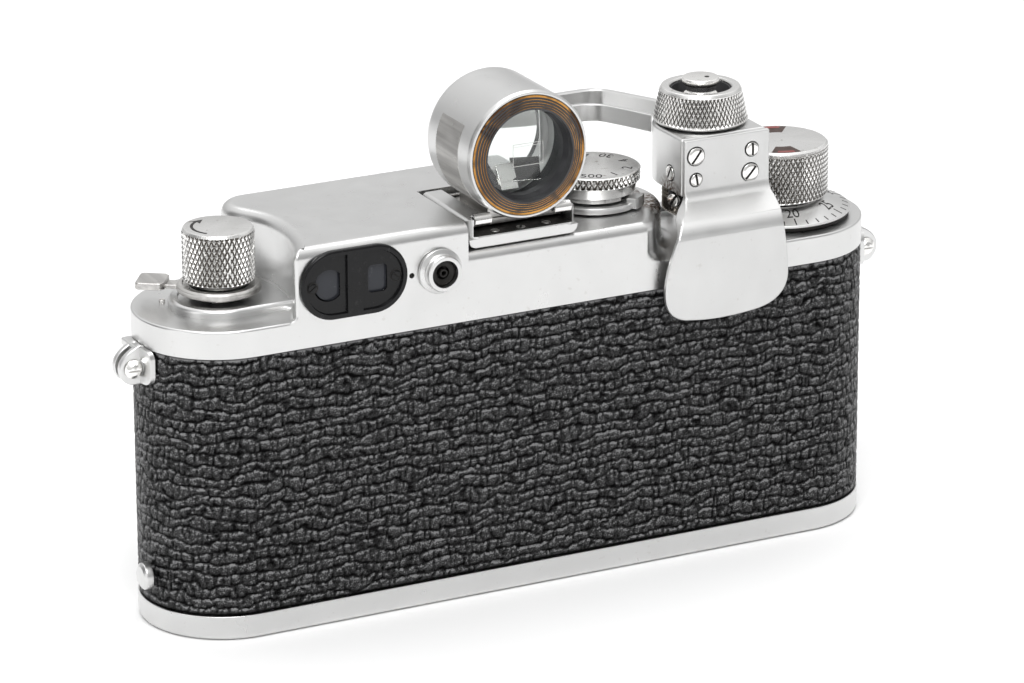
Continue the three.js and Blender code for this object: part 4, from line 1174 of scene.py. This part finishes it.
def dioptre_hub():
    """The darkened hub inside the lever's ring."""
    return spun([(2.6, 56.55), (5.0, 56.55), (5.0, 57.75), (2.6, 57.75)], x=REWIND_X)


def dioptre_pin():
    """The small bright stop pin in the deck under the lever's tab."""
    return spun([(0, DECK - 0.3), (0.55, DECK - 0.3), (0.55, DECK + 0.45, 0.15), (0, DECK + 0.55)],
                x=REWIND_X - 8.2, y=5.1, sides=32)


# ---- wind side -----------------------------------------------------------------------------
def wind_knob():
    knurl = Knurl(58.75, 67.0, 60, 0.34, row=0.84, grid=8, worn=0.92)
    return spun([
        (0, 46.4), (2.4, 46.4), (2.4, 56.5), (6.4, 56.5), (6.4, 58.5), (8.35, 58.5), (8.7, 58.8), (8.7, 67.0),
        (8.45, 67.1), (8.45, 67.3), (8.6, 67.4), (8.55, 67.6, 0.1), (8.15, 67.9, 0.2), (0, 67.9),
    ], x=WIND_X, sides=knurl.sides(), edge=0.05, relief=knurl)


def wind_windows(outer, inner, half, top):
    """Two windows in the knob's top, each a trapezoid with an arched outer side."""
    shapes = []
    for turn in (71, 251):
        shape = outline(arc(0, 0, outer, turn - half, turn + half, 8),
                        arc(0, 0, inner, turn + half * 0.9, turn - half * 0.9, 6))
        shapes.append(placed(prism(shape, [(67.7, 0.0), (top, 0.0)]), Matrix.Translation((WIND_X, 0, 0))))
    return together(*shapes)


DIVISIONS = 36


DIAL_SLOPE = math.atan2(1.3, 3.5)


def dial_spot(r, turn):
    """The matrix of a mark on the counter dial's cone: Y points up the cone."""
    height = 56.1 + (12.4 - r) * math.tan(DIAL_SLOPE)
    return on_top(WIND_X, 0, height, turn) @ Matrix.Translation((0, -r, 0)) @ Matrix.Rotation(DIAL_SLOPE, 4, "X")


def counter_dial():
    return spun([
        (2.7, 55), (11.9, 55), (11.9, 55.6), (12.5, 55.6), (12.6, 55.75), (12.6, 56.0, 0.1), (12.4, 56.1, 0.1),
        (7.9, 57.77), (6.9, 57.77), (6.9, 56.2), (2.7, 56.2),
    ], x=WIND_X, sides=160, edge=0.05)


def counter_shade_ring():
    """A dark ring under the dial's edge: painted shade beneath its overhang."""
    return spun([(11.92, 55.02), (12.35, 55.02), (12.35, 55.68), (11.92, 55.68)], x=WIND_X, sides=160, edge=0.04)


def counter_marks():
    shapes = []
    for k in range(DIVISIONS):
        length = 1.75 if k % 5 == 0 else 1.1
        tick = block((-0.12, -length / 2, -0.1), (0.12, length / 2, 0.025), 0.02)
        shapes.append(placed(tick, dial_spot(12.3 - length / 2, 36 + (k - 25) * 360 / DIVISIONS)))
    return together(*shapes)


# ---- speed dial and contact lever ----------------------------------------------------------
def speed_dial():
    knurl = Knurl(66.5, 68.35, 50, 0.42, row=0.92, grid=10, worn=0.92)
    return spun([
        (0, 55), (2.4, 55), (2.4, 63.6), (6.6, 63.6), (6.6, 64.4), (7.3, 64.5, 0.15), (7.65, 66.2, 0.1), (7.75, 66.45),
        (8.15, 66.5), (8.2, 68.35), (8.0, 68.46), (7.8, 68.5), (0, 68.5),
    ], x=SPEED_X, sides=knurl.sides(), edge=0.05, relief=knurl)


def sync_lever():
    ring = spun([(2.7, 62.2), (8.3, 62.2, 0.1), (8.3, 63.3, 0.25), (2.7, 63.3)], x=SPEED_X, edge=0.05, sides=128)
    bar = cut(
        block((6.9, -2.0, 62.2), (9.6, 2.0, 64.1), 0.3),
        spun([(8.95, 60), (14, 60), (14, 70), (8.95, 70)], edge=0, sides=128),
    )
    turn = Matrix.Translation(Vector((SPEED_X, 0, 0)) * MM) @ Matrix.Rotation(math.radians(-50), 4, "Z")
    bar.data.transform(turn)
    return union(ring, bar)


def clutch_lever():
    x, y = 30.4, 9.6
    low = DECK + 0.3
    return union(
        spun([(0, low), (2.1, low), (2.1, DECK + 2.2, 0.3), (0, DECK + 2.2)], x=x, y=y, edge=0.1, sides=48),
        block((x, y - 1.2, low), (x + 7, y + 1.2, DECK + 1.3), 0.2),
        block((x + 5.6, y - 1.2, low), (x + 7, y + 1.2, DECK + 2.8), 0.3),
    )


def slow_speed_dial():
    knurl = Knurl(17.0, 18.85, 44, 0.2, row=0.9, straight=True, grid=8)
    return spun([
        (0, 12.4), (2.3, 12.4), (2.3, 15.2), (8, 15.2, 0.15), (8, 16.5, 0.2), (6.65, 16.75), (6.6, 16.9), (6.6, 18.95),
        (6.15, 19.3, 0.15), (0, 19.3),
    ], DIAL_X, 0, DIAL_Z, "Y", knurl.sides(), 0.06, knurl)


# ---- release grip --------------------------------------------------------------------------
GRIP_X, GRIP_R, GRIP_REAR = 37.75, 8.25, -8.6
GRIP_LOW, GRIP_HIGH = (corner[2] for corner in span("grip_block"))


def grip_outline(inset=0.0):
    x, r = GRIP_X, GRIP_R
    side = outline((x - r, GRIP_REAR, 0.3), (x + r, GRIP_REAR, 0.3), arc(x, 0, r, 0, 180, 48))
    return shifted(side, inset)


def grip_block():
    block_shape = prism(grip_outline(), rims(GRIP_LOW, GRIP_HIGH, 0.4, 0.55, 4))
    bore = spun([(0, 60), (4, 60), (4, 80), (0, 80)], x=RELEASE_X, edge=0)
    scoop = spun([(0, 55), (9.2, 55), (9.2, 68.6, 0.3), (0, 68.6)], x=WIND_X, edge=0, sides=128)
    return cut(block_shape, bore, scoop)


def thumb_plate():
    """A bent plate: flat on the grip's rear face, then out and down behind the body as a thumb rest."""
    rear, sheet = -17.4, 1.0
    high = GRIP_REAR - 0.25
    line = rounded([
        (high - sheet / 2, GRIP_HIGH), (high - sheet / 2, GRIP_LOW - 0.2, 2.6),
        (rear + sheet / 2, 60.1, 2.6), (rear + sheet / 2, 42.6),
    ], closed=False, steps=10)
    step = np.gradient(line, axis=0)
    normal = np.c_[-step[:, 1], step[:, 0]] / np.linalg.norm(step, axis=1)[:, None] * sheet / 2
    edge = np.vstack([line + normal, (line - normal)[::-1]])
    bent = skin([np.c_[np.full(len(edge), x), edge] for x in (15.0, 55.0)], caps=True)
    x, r = GRIP_X, GRIP_R
    shape = outline(
        (x - r, GRIP_HIGH + 0.02, 0.3), (x - r, GRIP_LOW + 0.4),
        bezier((x - r, GRIP_LOW + 0.3), (28.6, 61.6), (25.4, 62), (24.6, 59.4)),
        bezier((24.6, 59.4), (23.3, 56.4), (22, 53), (21.9, 49.6)), bezier((21.9, 49.6), (21.9, 46), (23.6, 44.4), (27, 44.1)),
        bezier((27, 44.1), (31, 43.5), (36, 43.7), (40, 44.3)), bezier((40, 44.3), (43.6, 44.9), (45.9, 47), (45.8, 50.4)),
        bezier((45.8, 50.4), (45.6, 54), (45.2, 57), (44.8, 59.2)),
        bezier((44.8, 59.2), (44.6, 61), (x + r, 61.6), (x + r, GRIP_LOW + 0.3)),
        (x + r, GRIP_LOW + 0.4), (x + r, GRIP_HIGH + 0.02, 0.3),
    )
    return shared(bent, prism(shape, [(-30, 0.0), (0, 0.0)], "XZ"))


def lock_collar():
    knurl = Knurl(58.3, 62.3, 56, 0.28, row=0.74, grid=8, worn=0.92)
    return spun([
        (3.4, 57.7), (6.0, 57.7), (6.35, 58.0), (6.6, 58.25), (6.6, 62.35), (6.3, 62.7, 0.1), (6.1, 62.9), (3.4, 62.9),
    ], x=RELEASE_X, sides=knurl.sides(), edge=0.06, relief=knurl)


def finger_cup():
    knurl = Knurl(74.4, 79.35, 62, 0.30, row=0.78, grid=8, worn=0.92)
    return spun([
        (3.2, 73.9), (7.9, 73.9, 0.15), (8.23, 74.3, 0.1), (8.12, 74.6), (7.15, 79.3), (7.1, 79.5, 0.1), (6.75, 80, 0.25),
        (5.5, 80, 0.2), (5.29, 79.7, 0.1), (4.9, 75, 0.4), (3.2, 75),
    ], x=RELEASE_X, sides=knurl.sides(), edge=0.05, relief=knurl)


def plunger():
    return spun([
        (0, 59.8), (1.6, 59.8), (1.6, 76.7), (3.4, 77.1), (4.3, 77.2, 0.1), (4.2, 77.6, 0.2), (3.6, 78.2, 0.5), (2.5, 79.2, 0.4),
        (2.5, 80.5), (3.2, 80.6, 0.05), (3.27, 81.2, 0.1), (3.06, 81.5, 0.2), (0, 81.5),
    ], x=RELEASE_X, sides=80, edge=0.05)


def plunger_hole():
    """A dark disc near the middle of the plunger's top: painted shade standing in for its pit."""
    return spun([(0, 81.2), (0.42, 81.2), (0.42, 81.54), (0, 81.54)], x=RELEASE_X + 0.9, y=-0.6, sides=24, edge=0.02)


def cup_inside_shade():
    """A dark sheet over the cup's inside wall: painted shade."""
    return spun([(4.7, 75.15), (4.87, 75.15), (5.2, 79.4), (5.03, 79.4)], x=RELEASE_X, sides=96, edge=0)


def plunger_neck():
    """The shadowed groove below the plunger's disc."""
    return spun([(2.3, 80.2), (3.0, 80.25), (3.0, 80.55), (2.3, 80.6)], x=RELEASE_X, sides=64, edge=0)


def clamp_post():
    """The small arm under the grip that carries its clamp screw."""
    return block((30.0, -4.3, 60.9), (31.3, -2.9, GRIP_LOW + 0.2), 0.2)


def finger_loop():
    """A flat strip on edge, bent into a long U whose ends meet the grip."""
    low, high = (corner[2] for corner in span("finger_loop"))
    near, far, left, strip, edge = 14.9, 23.6, 4.6, 1.2, 0.25
    middle = (near + far) / 2

    def route(inset):
        r = (far - near) / 2 - inset
        return outline(
            bezier((30.4 + inset, 3.6), (28 + inset, 9), (26 + inset * 0.9, 12.6)),
            bezier((26 + inset * 0.9, 12.6), (24.8, near + inset), (21.6, near + inset)),
            arc(left, middle, r, 270, 90, 32),
            bezier((26, far - inset), (29.6, far - inset), (31.4 - inset, 20.6)),
            (37 - inset, 10.2), (37 - inset, 3.6),
        )

    turn = np.linspace(0, math.pi / 2, 4)
    opening = [(low - 1, -edge)]
    opening += [(low + edge * math.sin(t), -edge * (1 - math.sin(t))) for t in turn]
    opening += [(high - edge * math.sin(t), -edge * (1 - math.sin(t))) for t in turn[::-1]]
    opening += [(high + 1, -edge)]
    return cut(
        prism(route(0), rims(low, high, edge, edge, 3)), prism(route(strip), opening),
        prism(grip_outline(-0.15), [(low - 5, 0.0), (high + 5, 0.0)]),
        block((25, -4, 60), (45, 3.9, 80), 0),
    )


# ---- lens ----------------------------------------------------------------------------------
def on_lens(profile, sides=160, edge=0.12, relief=None):
    return spun(profile, LENS_X, 0, LENS_Z, "Y", sides, edge, relief)


def lens_flange():
    ring = on_lens([
        (17.9, 13.2), (19, 13.2), (19, 15), (22.3, 15), (22.3, 18.2, 0.2), (22, HOUSING_FRONT, 0.1), (17.9, HOUSING_FRONT),
    ], edge=0.04)
    return ring


def lens_mount():
    knurl = Knurl(19.2, 22.1, 96, 0.3, row=3.0, straight=True, grid=6, worn=0.7)
    return on_lens([
        (15.4, 14), (17.6, 14), (17.6, 18.8), (23.5, 18.8), (23.9, 19.2), (23.9, 22.15), (23.4, 22.7, 0.15), (15.4, 22.7),
    ], knurl.sides(), 0.06, knurl)


def focus_ring():
    ring = on_lens([(15.4, 23), (21.8, 23, 0.2), (21.8, 25.5, 0.3), (20.5, 26.8, 0.3), (15.4, 26.8)])
    lever = block((-2.2, 23, -27.9), (2.2, 25.4, -20), 0.5, "XZ")
    knob = spun([(0, 23.2), (1.7, 23.2), (1.7, 25.4, 0.4), (0, 25.4)], 0, 0, -25.6, "Y", 40)
    turn = Matrix.Translation((LENS_X, 0, LENS_Z)) @ Matrix.Rotation(math.radians(-28), 4, "Y")
    return union(ring, placed(lever, turn), placed(knob, turn))


def lens_carriage():
    return on_lens([
        (12.3, 12.6), (15.1, 12.6), (15.1, 27.8), (16.6, 28.1, 0.2), (16.6, 30.3, 0.25), (12.3, 30.4),
    ], edge=0.05)


def lens_tube():
    return on_lens([(10.2, 16.5), (12, 16.5), (12, 43.9, 0.2), (10.2, 44)], edge=0.05)


def lens_head():
    knurl = Knurl(44.8, 46.3, 90, 0.22, row=1.5, straight=True, grid=6, worn=0.7)
    return on_lens([
        (7.2, 44.3), (14.6, 44.3), (15, 44.7), (15, 46.4), (14.7, 46.55), (14.7, 48.5, 0.15), (14.3, 49, 0.2), (13.2, 49, 0.1),
        (9.4, 46.4, 0.3), (7.2, 46.4),
    ], knurl.sides(), 0.05, knurl)


def front_glass():
    return on_lens([(0, 43.3), (6.9, 43.3), (6.9, 45), (4, 45.85, 2), (0, 46.2)], 96, 0.05)


# ---- the pieces ----------------------------------------------------------------------------
piece("top_cover_shell", top_cover(), "satin_chrome", "top_cover")
piece("leather_wrap", leather_cover(), "leather", "leather_cover", weighted=False, smooth=60)
piece("base_shell", base_plate(), "satin_chrome", "base_plate")
piece("base_lock_key", base_key(), "bright_chrome", "base_key")
piece("base_lock_bail", base_key_bail(), "bright_chrome", body="base_key")
piece("tripod_socket", tripod_bush(), "brass", "tripod_bush")
piece("end_stud", base_stud(), "satin_chrome", "base_stud")
for side_name, side_sign in (("left", -1), ("right", 1)):
    piece(f"strap_ear_{side_name}", strap_lug(side_sign), "satin_chrome", f"strap_lug_{side_name}")
    piece(f"strap_screw_{side_name}", lug_pin(side_sign), "bright_chrome", f"lug_pin_{side_name}")

piece("eye_plate", eyepiece_plate(), "black_enamel", "eyepiece_plate")
piece("adjustment_hole", hole_shade_disc(), "dark_fill_and_shade", body="body")
piece("flash_contact", flash_socket(), "satin_chrome", "flash_socket")
piece("flash_contact_core", socket_core(), "dark_fill_and_shade", body="body")
for side_name, dx in (("left", -8.1), ("right", 8.1)):
    fit_screw(f"eye_plate_screw_{side_name}", (EYE_X + dx * 0.94, REAR - 0.52, EYE_Z), 0.85, (0, -1, 0), 40 * dx,
              height=0.22, dome=0.08, slot=0.25, finish="black_enamel")
for side_name in ("outer", "inner"):
    window_x, _, window_z = centre(f"rangefinder_window_{side_name}")
    piece(f"window_glass_{side_name}", window_pane(window_x, window_z, 3.0), "glass", f"rangefinder_window_{side_name}")
    piece(f"window_rim_{side_name}", window_rim(window_x, window_z), "satin_chrome", body="body")

piece("shoe_channel", accessory_shoe(), "satin_chrome", "accessory_shoe")
piece("shoe_floor_plate", shoe_floor(), "dark_fill_and_shade", body="body")
piece("shoe_leaf_spring", shoe_spring(), "bright_chrome", "shoe_spring")
for k, (screw_x, screw_y) in enumerate(((-8.0, -12.4), (-3.3, -12.6), (1.6, -12.4))):
    fit_screw(f"shoe_screw_{k}", (screw_x, screw_y, SHOE_LOW[2] + 2.13), 0.8, (0, 0, 1), 60 * k, 0.14, 0.05, finish="steel")

piece("finder_tube", finder_barrel(), "satin_chrome", "finder_barrel")
piece("finder_eye_rings", finder_eye_ring(), "dark_alloy", "finder_eye_ring")
piece("finder_ring_edges", eye_ring_edges(), "aged_brass", body="finder")
piece("finder_grip_patch", finder_grip(), "steel", body="finder")
piece("finder_mirror_plates", finder_mirrors(), "bright_chrome", body="finder")
piece("finder_prism_wedge", finder_wedge(), "bright_chrome", body="finder")
for name, low, high, finish in (("inner", -10.6, -5.2, "dark_alloy"), ("front", -5.1, 1.2, "brushed_plate")):
    tube = on_finder([(8.95, low), (9.3, low), (9.3, high), (8.95, high)], edge=0.05)
    piece(f"finder_{name}_tube", tube, finish, body="finder")
piece("finder_frame_mask", finder_mask(), "brushed_plate", body="finder")
piece("finder_bright_lines", bright_lines(), "white_line", body="finder")
piece("finder_ocular", on_finder([(0, -10.7), (8.85, -10.7), (8.85, -9.5), (5, -9.1, 3), (0, -8.9)], 72, 0.05), "glass", "finder_eye_glass")
piece("finder_objective", on_finder([(0, -2.1), (8.85, -2.1), (8.85, -1.1), (0, -1.8)], 72, 0.05), "glass", "finder_front_glass")
piece("finder_front_lip", on_finder([(8.9, 0.6), (9.3, 0.6), (9.3, 1.7, 0.1), (8.9, 1.7, 0.1)]), "black_enamel", body="finder")
piece("finder_foot_block", finder_foot(), "steel", "finder_foot")

piece("rewind_grip", rewind_knob(), "knurled_chrome", "rewind_knob", smooth=24)
piece("rewind_arrow", rewind_arrow(), "dark_fill_and_shade", body="rewind")
piece("dioptre_arm", dioptre_lever(), "steel", "dioptre_lever")
piece("dioptre_ring_hub", dioptre_hub(), "dark_alloy", body="dioptre")
piece("dioptre_stop_pin", dioptre_pin(), "bright_chrome", body="body")
piece("wind_grip", wind_knob(), "knurled_chrome", "wind_knob", smooth=24)
piece("wind_windows", wind_windows(7.85, 4.25, 19.6, 67.91), "brown_enamel", body="wind")
piece("wind_markers", wind_windows(7.7, 6.7, 12, 67.93), "red_enamel", body="wind")
piece("counter_disc", counter_dial(), "satin_chrome", "counter_dial")
piece("counter_rim", counter_shade_ring(), "dark_fill_and_shade", body="counter")
piece("counter_ticks", counter_marks(), "dark_fill_and_shade", body="counter")
numerals("counter_numbers", [
    (str(5 * k), dial_spot(9.35, 36 + (5 * k - 25) * 360 / DIVISIONS) @ Matrix.Diagonal((0.78, 1, 1, 1)))
    for k in range(8)
], 3.3, "dark_fill_and_shade", "counter")
piece("speed_grip", speed_dial(), "knurled_chrome", "speed_dial", smooth=24)
numerals("speed_numbers", [
    (text, on_top(SPEED_X, 0, 68.5, 40 + 360 / 9 * k + 90) @ Matrix.Translation((0, -6.1, 0)))
    for k, text in enumerate(("30", "40", "60", "100", "200", "500", "1", "2", "4"))
], 2.6, "dark_fill_and_shade", "speed")
piece("contact_ring", sync_lever(), "satin_chrome", "sync_lever")
piece("clutch_arm", clutch_lever(), "satin_chrome", "clutch_lever")
piece("slow_speed_grip", slow_speed_dial(), "knurled_chrome", "slow_speed_dial", smooth=24)

piece("grip_body", grip_block(), "satin_chrome", "grip_block")
piece("thumb_rest", thumb_plate(), "brushed_plate", "thumb_plate", bevel=0.22)
PLATE_FACE = GRIP_REAR - 1.25
for screw_name, x, z, r, slot_angle, node in (
    ("upper", 31.6, 70.7, 1.55, 52, "plate_screw_upper"), ("lower", 42.2, 66.4, 1.55, 48, "plate_screw_lower"),
    ("small_left", 31.65, 66.5, 1.1, 100, ()), ("small_right", 42.5, 70.5, 1.2, 90, ()),
):
    fit_screw(f"thumb_screw_{screw_name}", (x, PLATE_FACE + 0.03, z), r, (0, -1, 0), slot_angle, node=node)
fit_screw("grip_side_screw", (GRIP_X - GRIP_R + 0.03, -4.6, 66.6), 1.3, (-1, 0, 0), 60, 0.3, 0.12)
# The collar's dark chrome is painted shade, with grime.
piece("collar_grip", lock_collar(), "shaded_grimy_chrome", "lock_collar", smooth=24)
piece("cup_grip", finger_cup(), "knurled_chrome", "finger_cup", smooth=24)
piece("cup_inside", cup_inside_shade(), "dark_alloy", body="finger_cup")
piece("plunger_button", plunger(), "bright_chrome", "plunger")
piece("plunger_groove", plunger_neck(), "dark_fill_and_shade", body="plunger")
piece("plunger_pit", plunger_hole(), "dark_fill_and_shade", body="plunger")
# The clamp arm's dark finish is painted shade, under the grip.
piece("clamp_arm", clamp_post(), "dark_alloy", body="body")
fit_screw("clamp_screw", (30.5, -4.35, 61.6), 1.15, (-0.75, -0.65, 0), 60, height=0.9, dome=0.35)
piece("finger_strap", finger_loop(), "satin_chrome", "finger_loop")

piece("flange_ring", lens_flange(), "satin_chrome", "lens_flange")
piece("mount_ring", lens_mount(), "knurled_chrome", "lens_mount", smooth=24)
piece("focusing_ring", focus_ring(), "satin_chrome", "focus_ring")
piece("helicoid", lens_carriage(), "brass", "lens_carriage")
piece("collapsible_tube", lens_tube(), "bright_chrome", "lens_tube")
piece("lens_head_ring", lens_head(), "knurled_chrome", "lens_head", smooth=24)
piece("front_element", front_glass(), "glass", "front_glass")

# CAD nodes that keep their own shape: softened edges and a worked finish
KEPT = {
    "body_shell": "dark_alloy", "film_cassette": "dark_alloy", "cassette_spool": "dark_alloy", "takeup_spool": "dark_alloy",
    "shutter_crate": "dark_alloy", "sprocket_shaft": "steel", "spring_roller": "steel", "rangefinder_arm": "steel",
    "curtain_drum": "brass", "shutter_curtain": "curtain_cloth", "pressure_plate": "black_enamel",
    # The eyepieces' dark panes are painted shade for the dark inside behind them.
    "release_button": "bright_chrome", "viewfinder_eyepiece": "eyepiece_shade_glass", "rangefinder_eyepiece": "eyepiece_shade_glass",
    "viewfinder_window": "glass", "rangefinder_prism": "glass",
}
for node_name, finish_name in KEPT.items():
    node = frame["nodes"][node_name]
    node.data.materials.clear()
    node.data.materials.append(FINISHES[finish_name])
    weld = node.modifiers.new("weld", "WELD")
    weld.merge_threshold = 1e-6
    edges = node.modifiers.new("edges", "BEVEL")
    edges.width = 0.1 * MM
    edges.segments = 2
    edges.limit_method = "ANGLE"
    edges.angle_limit = math.radians(40)


# ---- stage, light and camera ---------------------------------------------------------------
def stage():
    size = 4000.0
    floor = solid(prism(circle(0, 0, size, 96), [(-30.0, 0.0), (-0.02, 0.0)]))
    floor.name = "floor"
    paint = Finish("floor_paint", Roughness=0.75, Specular_IOR_Level=0.2)
    paint.colour(paint.mix(paint.noise(3, 2), (0.855, 0.855, 0.855), (0.875, 0.875, 0.875)))
    floor.data.materials.append(paint.bumps((paint.noise(900, 2), 0.01)))


def area_light(name, spot, target, size, power):
    data = bpy.data.lights.new(name, "AREA")
    data.shape = "RECTANGLE"
    data.size, data.size_y = size
    data.energy = power
    lamp = bpy.data.objects.new(name, data)
    lamp.location = spot
    lamp.rotation_euler = (Vector(target) - Vector(spot)).to_track_quat("-Z", "Y").to_euler()
    bpy.context.scene.collection.objects.link(lamp)


def sky():
    """A light tent: grey at the horizon, bright overhead, with two dark flags that give the metal its contrast."""
    world = bpy.data.worlds.new("tent")
    bpy.context.scene.world = world
    world.use_nodes = True
    nodes, links = world.node_tree.nodes, world.node_tree.links
    place = nodes.new("ShaderNodeTexCoord").outputs["Generated"]
    split = nodes.new("ShaderNodeSeparateXYZ")
    links.new(place, split.inputs[0])
    ramp = nodes.new("ShaderNodeValToRGB")
    links.new(split.outputs["Z"], ramp.inputs["Fac"])
    stops = ((0.0, 0.55), (0.22, 0.68), (0.42, 0.84), (0.68, 1.02), (1.0, 1.1))
    while len(ramp.color_ramp.elements) < len(stops):
        ramp.color_ramp.elements.new(0.5)
    for element, (height, value) in zip(ramp.color_ramp.elements, stops):
        element.position = height
        element.color = (value, value, value, 1)
    shade = ramp.outputs["Color"]
    for direction, depth in (((0.5, -0.78, 0.37), 0.4), ((-0.95, 0.25, 0.2), 0.7)):
        dot = nodes.new("ShaderNodeVectorMath")
        dot.operation = "DOT_PRODUCT"
        dot.inputs[1].default_value = direction
        links.new(place, dot.inputs[0])
        fade = nodes.new("ShaderNodeMapRange")
        fade.interpolation_type = "SMOOTHSTEP"
        for socket, value in (("From Min", 0.78), ("From Max", 0.93), ("To Min", 1.0), ("To Max", 1.0 - depth)):
            fade.inputs[socket].default_value = value
        links.new(dot.outputs["Value"], fade.inputs["Value"])
        scaled = nodes.new("ShaderNodeVectorMath")
        scaled.operation = "SCALE"
        links.new(shade, scaled.inputs[0])
        links.new(fade.outputs[0], scaled.inputs["Scale"])
        shade = scaled.outputs[0]
    links.new(shade, nodes["Background"].inputs["Color"])


def camera():
    """The camera stands behind, to the left and above."""
    yaw, pitch, roll = (math.radians(v) for v in (-26.674, 19.424, -0.228))
    target = Vector((1.312, 0, 39.065)) * MM
    distance = 0.928775
    back = Vector((math.sin(yaw) * math.cos(pitch), -math.cos(yaw) * math.cos(pitch), math.sin(pitch)))
    right = Vector((math.cos(yaw), math.sin(yaw), 0))
    up = back.cross(right)
    turned = Matrix((
        right * math.cos(roll) + up * math.sin(roll), up * math.cos(roll) - right * math.sin(roll), back,
    )).transposed()
    data = bpy.data.cameras.new("view")
    data.lens, data.sensor_width = 190.22, 36.0
    data.clip_start, data.clip_end = 0.05, 20.0
    made = bpy.data.objects.new("view", data)
    made.matrix_world = Matrix.Translation(target + back * distance) @ turned.to_4x4()
    bpy.context.scene.collection.objects.link(made)
    bpy.context.scene.camera = made


stage()
sky()
area_light("softbox", (-0.30, -0.55, 1.05), (0, 0, 0.03), (0.6, 0.6), 7.8)
area_light("top", (0.2, 0.5, 1.4), (0, 0, 0), (1.0, 1.0), 4.6)
area_light("left", (-1.2, -0.2, 0.35), (0, 0, 0.05), (0.5, 0.7), 1.4)
camera()
bpy.context.scene.view_settings.view_transform = "Standard"
